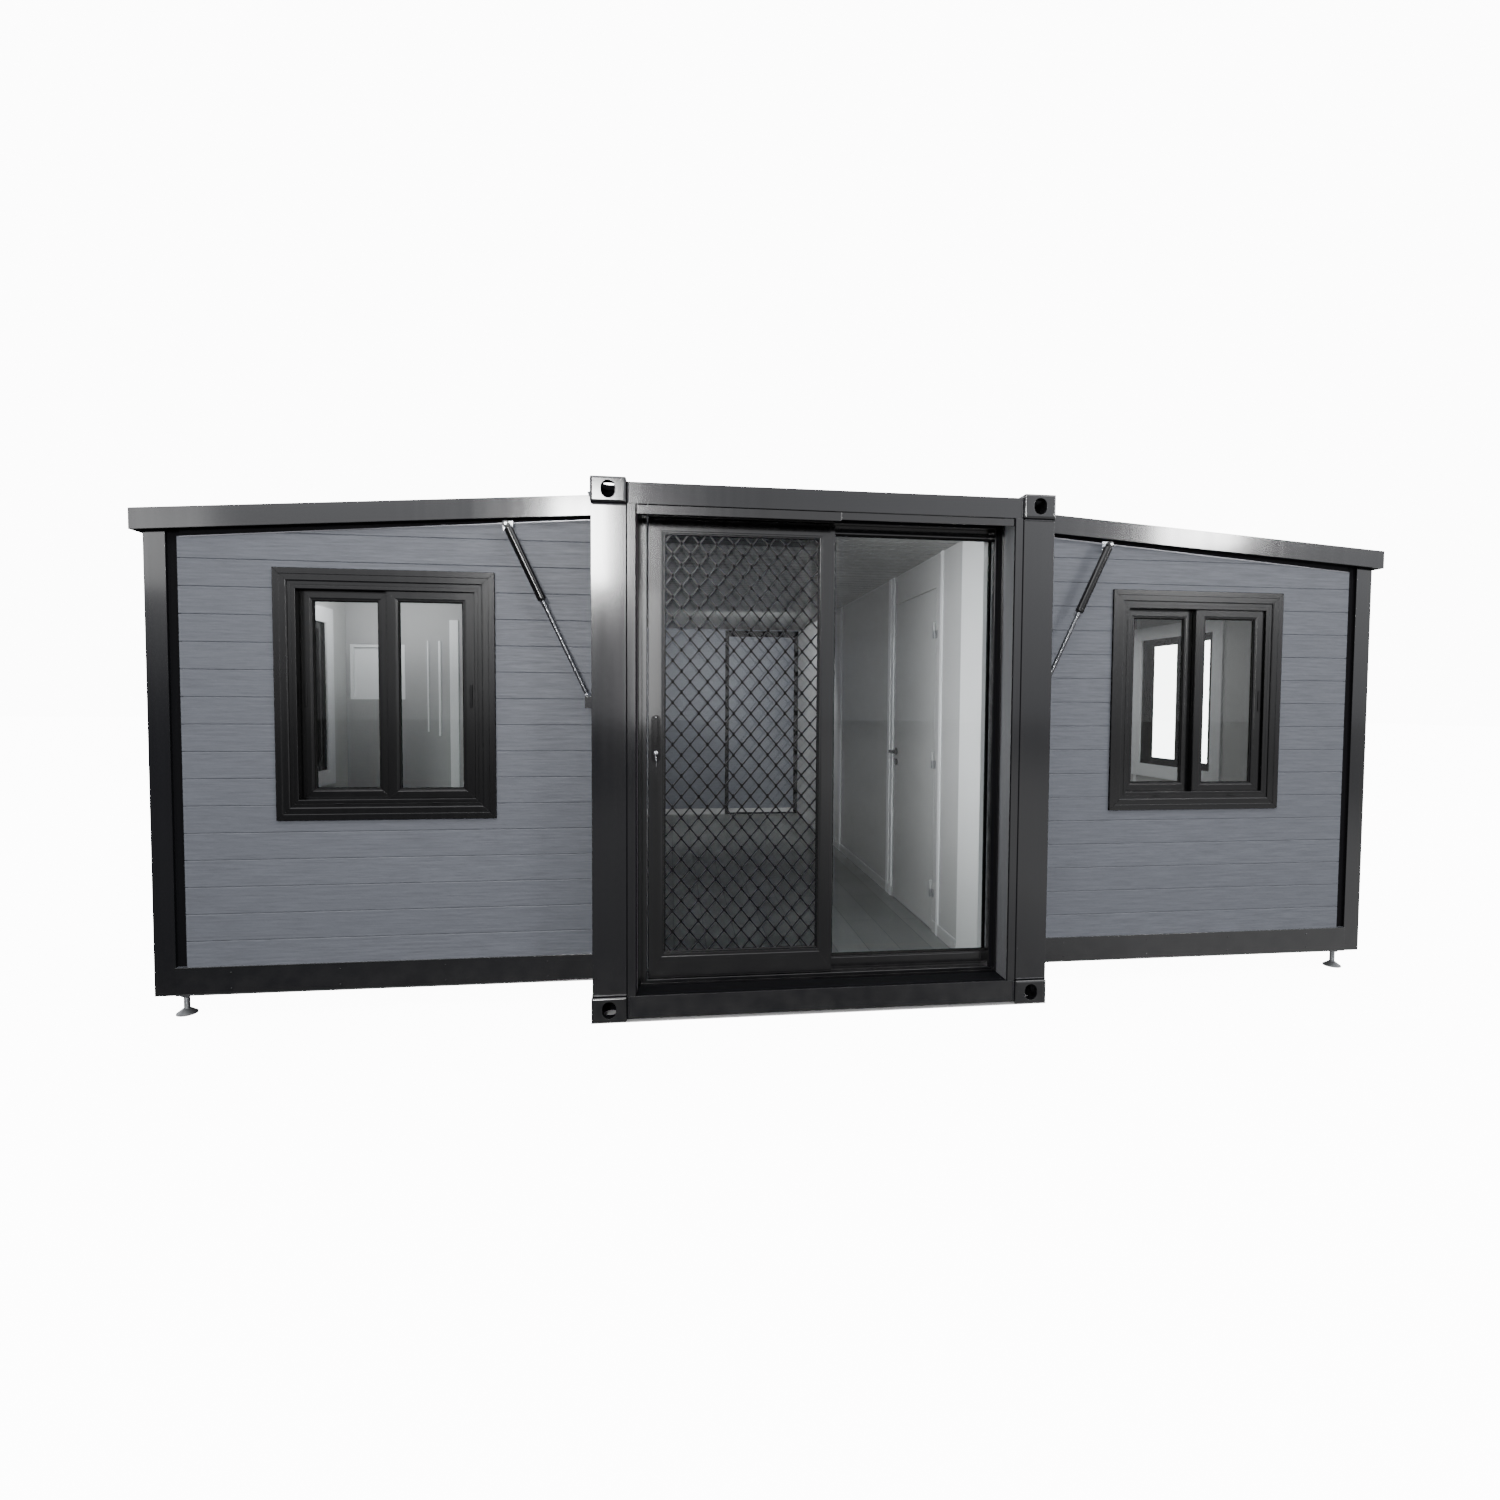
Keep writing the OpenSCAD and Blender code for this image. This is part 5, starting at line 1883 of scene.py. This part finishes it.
    def far_panel(self) -> Item:
        """Frames a dark-edged panel on the wall at the core's far end."""
        low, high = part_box("core_back_wall")
        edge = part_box("partition_back_panel")[0].x
        shape = Shape(Facing.FRONT)
        outer = (-0.075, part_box("core_floor")[1].z, edge - 0.004, high.z - 0.012)
        inner = (-0.030, outer[1] + 0.02, outer[2] - 0.050, outer[3] - 0.075)
        section = [(0.0, 0.0), (0.0, 0.012), (0.1, 0.016), (0.9, 0.016), (1.0, 0.012), (1.0, 0.0)]
        shape.mitred(outer, inner, section, -low.y)
        return shape.finish("far_panel_frame", ALUMINIUM, self.effects)

    def build(self) -> list[Item]:
        """Builds the rooms' pieces."""
        return [self.ceilings(), self.strips(), self.skirtings(), self.far_panel()]


# ---- struts and feet


@dataclass
class StrutsAndFeet(Part):
    """Collars, wipers and threads of the roof struts and the levelling feet."""

    eye_r: float = 0.016
    body_l: float = 0.380
    rod_r: float = 0.010
    thread_pitch: float = 0.012
    stem_r: float = 0.012
    foot_pitch: float = 0.004
    seed: int = 11

    def axes(self) -> Iterable[Box]:
        """The lower and upper pin of each strut."""
        for rod, body in zip(self.plan.solids("strut_rods"), self.plan.solids("strut_bodies")):
            side = 1 if rod[0].x > 0 else -1
            y = (rod[0].y + rod[1].y) / 2
            low_x = rod[0].x + self.eye_r if side > 0 else rod[1].x - self.eye_r
            high_x = body[1].x - self.eye_r if side > 0 else body[0].x + self.eye_r
            yield (
                Vector((low_x, y, rod[0].z + self.eye_r)),
                Vector((high_x, y, body[1].z - self.eye_r)),
            )

    def collars(self) -> list[Item]:
        """Sets bright end fittings, a wiper ring and a ridged rod on each strut."""
        bright, dull, dark = Shape(), Shape(), Shape()
        chance = random.Random(self.seed)
        head = [(0, 0.0125), (0.2, 0.0135), (0.8, 0.0135), (1, 0.0115)]
        foot = [(0, 0.0115), (0.15, 0.0135), (0.85, 0.0135), (1, 0.0115)]
        ring = [(0, 0.0125), (0.25, 0.0205), (0.7, 0.0212), (1, 0.0205)]
        for low, high in self.axes():
            axis = (high - low).normalized()
            end = high - axis * self.body_l
            for shape, start, finish, profile, sides in (
                (bright, high - axis * 0.046, high - axis * 0.0175, head, 6),
                (dark, end - axis * 0.006, end + axis * 0.016, ring, 24),
                (bright, low + axis * 0.017, low + axis * 0.045, foot, 6),
            ):
                shape.lathe(start, finish, profile, sides)
            start, length = low + axis * 0.05, (end - low).length - 0.064
            turns = int(length / self.thread_pitch)
            profile = []
            for i in range(turns):
                at = i / turns
                ridge = self.rod_r + chance.uniform(0.0006, 0.0028)
                profile += [(at, self.rod_r + 0.0002), (at + 0.45 / turns, ridge)]
            profile.append((1.0, self.rod_r + 0.0002))
            dull.lathe(start, start + axis * length, profile, 14)
        return [
            bright.finish("strut_fittings", STEEL, self.effects, smooth=50.0),
            dull.finish("strut_ridges", DULL_STEEL, self.effects, smooth=50.0),
            dark.finish("strut_wipers", PLASTIC, self.effects, smooth=50.0),
        ]

    def threads(self) -> Item:
        """Cuts threads on the stems of the feet, and lays a washer under each nut."""
        shape = Shape()
        for low, high in self.plan.solids("levelling_feet"):
            x, y = (low.x + high.x) / 2, (low.y + high.y) / 2
            bottom, top = low.z + 0.027, high.z - 0.0215
            turns = int((top - bottom) / self.foot_pitch)
            profile = []
            for i in range(turns):
                at = i / turns
                profile += [(at, self.stem_r + 0.0001), (at + 0.5 / turns, self.stem_r + 0.0012)]
            profile.append((1.0, self.stem_r + 0.0001))
            shape.lathe((x, y, bottom), (x, y, top), profile, 18)
            shape.lathe(
                (x, y, top), (x, y, top + 0.003), [(0, 0.0235), (0.5, 0.024), (1, 0.0235)], 24
            )
        return shape.finish("foot_threads", SATIN_STEEL, self.effects, smooth=50.0)

    def build(self) -> list[Item]:
        """Builds the struts' and feet's fine pieces."""
        return [*self.collars(), self.threads()]


# ---- studio


@dataclass(frozen=True)
class View:
    """The camera: where it stands and how it is turned."""

    place: tuple[float, float, float] = (-0.74198, -6.39259, 1.47311)
    yaw: float = 0.1246682
    pitch: float = -0.0399597
    roll: float = 0.0060171
    lens: float = 18.0
    shift: tuple[float, float] = (-0.00945, -0.01162)

    def build(self) -> Item:
        """Makes the camera.

        Returns:
            The camera, set as the scene's own.
        """
        data = bpy.data.cameras.new("camera")
        data.lens, data.sensor_width = self.lens, 36.0
        data.shift_x, data.shift_y = self.shift
        data.clip_end = 200.0
        camera = bpy.data.objects.new("camera", data)
        forward = Vector((
            math.sin(self.yaw) * math.cos(self.pitch),
            math.cos(self.yaw) * math.cos(self.pitch),
            math.sin(self.pitch),
        ))
        right = Vector((math.cos(self.yaw), -math.sin(self.yaw), 0.0))
        up = right.cross(forward)
        c, s = math.cos(self.roll), math.sin(self.roll)
        right, up = right * c + up * s, up * c - right * s
        turn = Matrix((right, up, -forward)).transposed()
        camera.matrix_world = Matrix.Translation(self.place) @ turn.to_4x4()
        bpy.context.scene.collection.objects.link(camera)
        bpy.context.scene.camera = camera
        return camera


@dataclass(frozen=True)
class Lamp:
    """A soft panel light."""

    name: str
    place: tuple[float, float, float]
    target: tuple[float, float, float]
    size: tuple[float, float]
    power: float
    hidden: bool = False

    def build(self) -> Item:
        """Makes the lamp.

        Returns:
            The lamp. A hidden one lights the rooms and shows in no glass.
        """
        data = bpy.data.lights.new(self.name, "AREA")
        data.shape, data.energy = "RECTANGLE", self.power
        data.size, data.size_y = self.size
        lamp = bpy.data.objects.new(self.name, data)
        lamp.location = self.place
        lamp.rotation_euler = (
            (Vector(self.target) - Vector(self.place)).to_track_quat("-Z", "Y").to_euler()
        )
        lamp.visible_glossy = lamp.visible_transmission = not self.hidden
        bpy.context.scene.collection.objects.link(lamp)
        return lamp


class Studio:
    """The pale floor, the soft surroundings, the lamps and the camera."""

    GLOW = 12.0
    WHITE = (1.0, 1.0, 1.0, 1.0)

    LAMPS = (
        Lamp("key_panel", (-2.2, -12.0, 4.15), (-1.6, -3.0, 2.2), (0.9, 1.5), 430.0),
        Lamp("door_panel", (-1.08, -12.0, 2.2), (-1.08, -3.0, 1.6), (0.4, 2.2), 14.0),
        Lamp("right_panel", (9.0, -12.0, 4.75), (2.0, -3.0, 2.2), (1.3, 0.8), 200.0),
        Lamp("left_panel", (-9.2, -12.0, 4.0), (-3.0, -3.0, 2.0), (2.2, 1.5), 22.0),
        Lamp("top_panel", (0.0, -5.3, 5.4), (0.0, -2.7, 1.6), (9.0, 1.2), 150.0),
        Lamp("right_fill", (6.5, -9.0, 1.2), (2.2, -2.7, 0.9), (2.5, 1.6), 90.0, True),
        Lamp("back_fill", (0.0, 12.0, 5.0), (0.0, 2.7, 1.4), (9.0, 3.0), 420.0, True),
        Lamp("left_fill", (-12.0, 1.5, 5.0), (-3.0, 0.0, 1.4), (6.0, 3.0), 260.0, True),
        Lamp("right_side_fill", (12.0, 1.5, 5.0), (3.0, 0.0, 1.4), (6.0, 3.0), 260.0, True),
        Lamp("left_room", (-2.55, -1.25, 2.12), (-2.55, -0.75, 1.75), (0.8, 0.25), 5.5, True),
        Lamp("right_room", (2.1, -0.6, 2.1), (2.1, -0.6, 0.0), (1.2, 2.4), 14.0, True),
        Lamp("far_end", (-0.1, 0.9, 2.2), (0.1, 2.8, 1.4), (1.2, 0.8), 58.0, True),
        Lamp("door_side", (0.1, -2.60, 1.5), (0.9, -2.50, 1.4), (0.1, 1.6), 14.0, True),
    )

    @staticmethod
    def rays(recipe: Recipe) -> tuple[Socket, Socket]:
        """Masks of rays seen straight or through glass, and of rays once mirrored."""
        path = recipe.node("ShaderNodeLightPath").outputs
        mirrored = recipe.times(path["Glossy Depth"], 1.0, clamp=True)
        plain = recipe.less(1.0, mirrored)
        through = recipe.times(path["Is Transmission Ray"], plain)
        return recipe.math("MAXIMUM", path["Is Camera Ray"], through), mirrored

    def world(self) -> None:
        """Lights the surroundings: bright above, dim at eye level."""
        world = bpy.data.worlds.new("studio")
        bpy.context.scene.world = world
        world.use_nodes = True
        world.node_tree.nodes.clear()
        recipe = Recipe(world.node_tree)
        way = recipe.node("ShaderNodeTexCoord").outputs["Generated"]
        axes = recipe.node("ShaderNodeSeparateXYZ", {0: way}).outputs
        low = recipe.spread(recipe.window(axes["Z"], 0.0, 0.26), 0.10, 0.46)
        high = recipe.spread(recipe.window(axes["Z"], 0.26, 0.9), 0.0, 0.55)
        soft = recipe.plus(low, high)
        aside = recipe.math("ABSOLUTE", recipe.less(axes["X"], 0.1))
        sheen = recipe.spread(
            recipe.window(axes["Z"], 0.0, 0.24),
            recipe.spread(recipe.window(axes["X"], -0.5, -0.1), 0.20, 0.78),
            recipe.spread(recipe.window(aside, 0.0, 0.45), 0.88, 1.50),
        )
        straight, mirrored = self.rays(recipe)
        soft = recipe.node(
            "ShaderNodeBackground",
            {"Color": (0.96, 0.97, 1.0, 1.0), "Strength": recipe.spread(mirrored, soft, sheen)},
        )
        seen = recipe.node(
            "ShaderNodeBackground", {"Color": self.WHITE, "Strength": self.GLOW}
        )
        values = {0: straight, 1: soft.outputs[0], 2: seen.outputs[0]}
        mixed = recipe.node("ShaderNodeMixShader", values)
        recipe.node("ShaderNodeOutputWorld", {"Surface": mixed.outputs[0]})

    def floor(self) -> Item:
        """Lays the pale studio floor, with a painted shadow under the core, throwing little light
        back.
        """
        mesh = bmesh.new()
        bmesh.ops.create_grid(mesh, x_segments=4, y_segments=4, size=60.0)
        data = bpy.data.meshes.new("studio_floor")
        mesh.to_mesh(data)
        mesh.free()
        floor = bpy.data.objects.new("studio_floor", data)
        floor.location = (0.0, 0.0, -0.0005)
        bpy.context.scene.collection.objects.link(floor)
        material = bpy.data.materials.new("pale_floor")
        material.use_nodes = True
        material.node_tree.nodes.clear()
        recipe = Recipe(material.node_tree)
        seen, mirrored = self.rays(recipe)
        axes = recipe.axes()
        across = axes["X"]
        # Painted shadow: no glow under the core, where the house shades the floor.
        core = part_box("bottom_corner_castings")[1]
        below = [
            recipe.math("LESS_THAN", recipe.math("ABSOLUTE", axes[name]), reach)
            for name, reach in (("X", core.x), ("Y", core.y))
        ]
        outside_painted_shadow = recipe.less(1.0, recipe.times(*below))
        sheen = recipe.plus(
            recipe.spread(recipe.window(across, -3.4, -1.4), 0.0, 0.13),
            recipe.spread(recipe.window(across, 0.3, 2.2), 0.0, 0.45),
        )
        sheen = recipe.times(
            sheen, recipe.spread(recipe.window(across, 5.5, 11.0), 1.0, 0.5)
        )
        sheen = recipe.times(sheen, mirrored)
        glow = recipe.times(seen, outside_painted_shadow)
        values = {
            "Base Color": recipe.blend(seen, (0.02, 0.02, 0.02), (0.85, 0.85, 0.85)),
            "Roughness": 0.9,
            "Emission Color": self.WHITE,
            "Emission Strength": recipe.plus(recipe.times(glow, self.GLOW), sheen),
        }
        shader = recipe.node("ShaderNodeBsdfPrincipled", values)
        recipe.node("ShaderNodeOutputMaterial", {"Surface": shader.outputs[0]})
        data.materials.append(material)
        floor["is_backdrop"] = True
        return floor

    def build(self) -> None:
        """Sets up the whole studio."""
        View().build()
        self.world()
        self.floor()
        for lamp in self.LAMPS:
            lamp.build()


# ---- all together


HOLLOW_DEPTH = 0.004
STRUT_HEAD_LEVEL = 2.0


def paint_shade_in_hollows(node: Item, depth: float, effects: Effects) -> None:
    """Gives the faces that lie inside a node's solids the black finish of painted shadow, painted
    shade in the hollows.

    Args:
        node: The node, with its own finish already on it.
        depth: How deep below the solid's outer faces the hollow starts.
        effects: The shared node groups.
    """
    node.data.materials.append(PAINTED_SHADOW.material(effects))
    boxes = solids_of(node)
    for face in node.data.polygons:
        low, high = min(boxes, key=lambda b: ((b[0] + b[1]) / 2 - face.center).length)
        sides = [*(face.center - low), *(high - face.center)]
        face.material_index = int(min(sides) > depth)


def brighten_heads(node: Item, level: float, effects: Effects) -> None:
    """Gives the faces that lie above a level the bright steel finish.

    Args:
        node: The node, with its own finish already on it.
        level: The height above which the faces are bare steel.
        effects: The shared node groups.
    """
    node.data.materials.append(STEEL.material(effects))
    for face in node.data.polygons:
        face.material_index = int(face.center.z > level)


def dress_nodes(nodes: dict[str, Item], effects: Effects) -> None:
    """Gives each frame node its finish.

    Args:
        nodes: The frame's nodes by name.
        effects: The shared node groups.
    """
    for finish, names in NODE_FINISHES.items():
        for name in names:
            node = nodes[name]
            node.data.materials.clear()
            node.data.materials.append(finish.material(effects))
            LOG.info("%s: %s", name, finish.name)
    # The castings' hollows are painted black: painted shade.
    for name in ("bottom_corner_castings", "top_corner_castings"):
        paint_shade_in_hollows(nodes[name], HOLLOW_DEPTH, effects)
    brighten_heads(nodes["strut_brackets"], STRUT_HEAD_LEVEL, effects)


def main() -> None:
    """Builds the studio and the house's pieces in order."""
    logging.basicConfig(level=logging.INFO, format="%(message)s")
    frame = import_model()
    cad_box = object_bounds()
    effects = Effects()
    Studio().build()
    dress_nodes(frame["nodes"], effects)
    plan = Plan(frame["nodes"])
    for part in (Siding, WallTrims, Roof, CoreFrame, Windows, DoorSet, Rooms, StrutsAndFeet):
        pieces = part(plan, effects).build()
        LOG.info("%s: %d pieces", part.__name__, len(pieces))
    sizes = {"cad": cad_box, "visual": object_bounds()}
    {key: [list(corner) for corner in box] for key, box in sizes.items()}


if __name__ == "__main__":
    main()
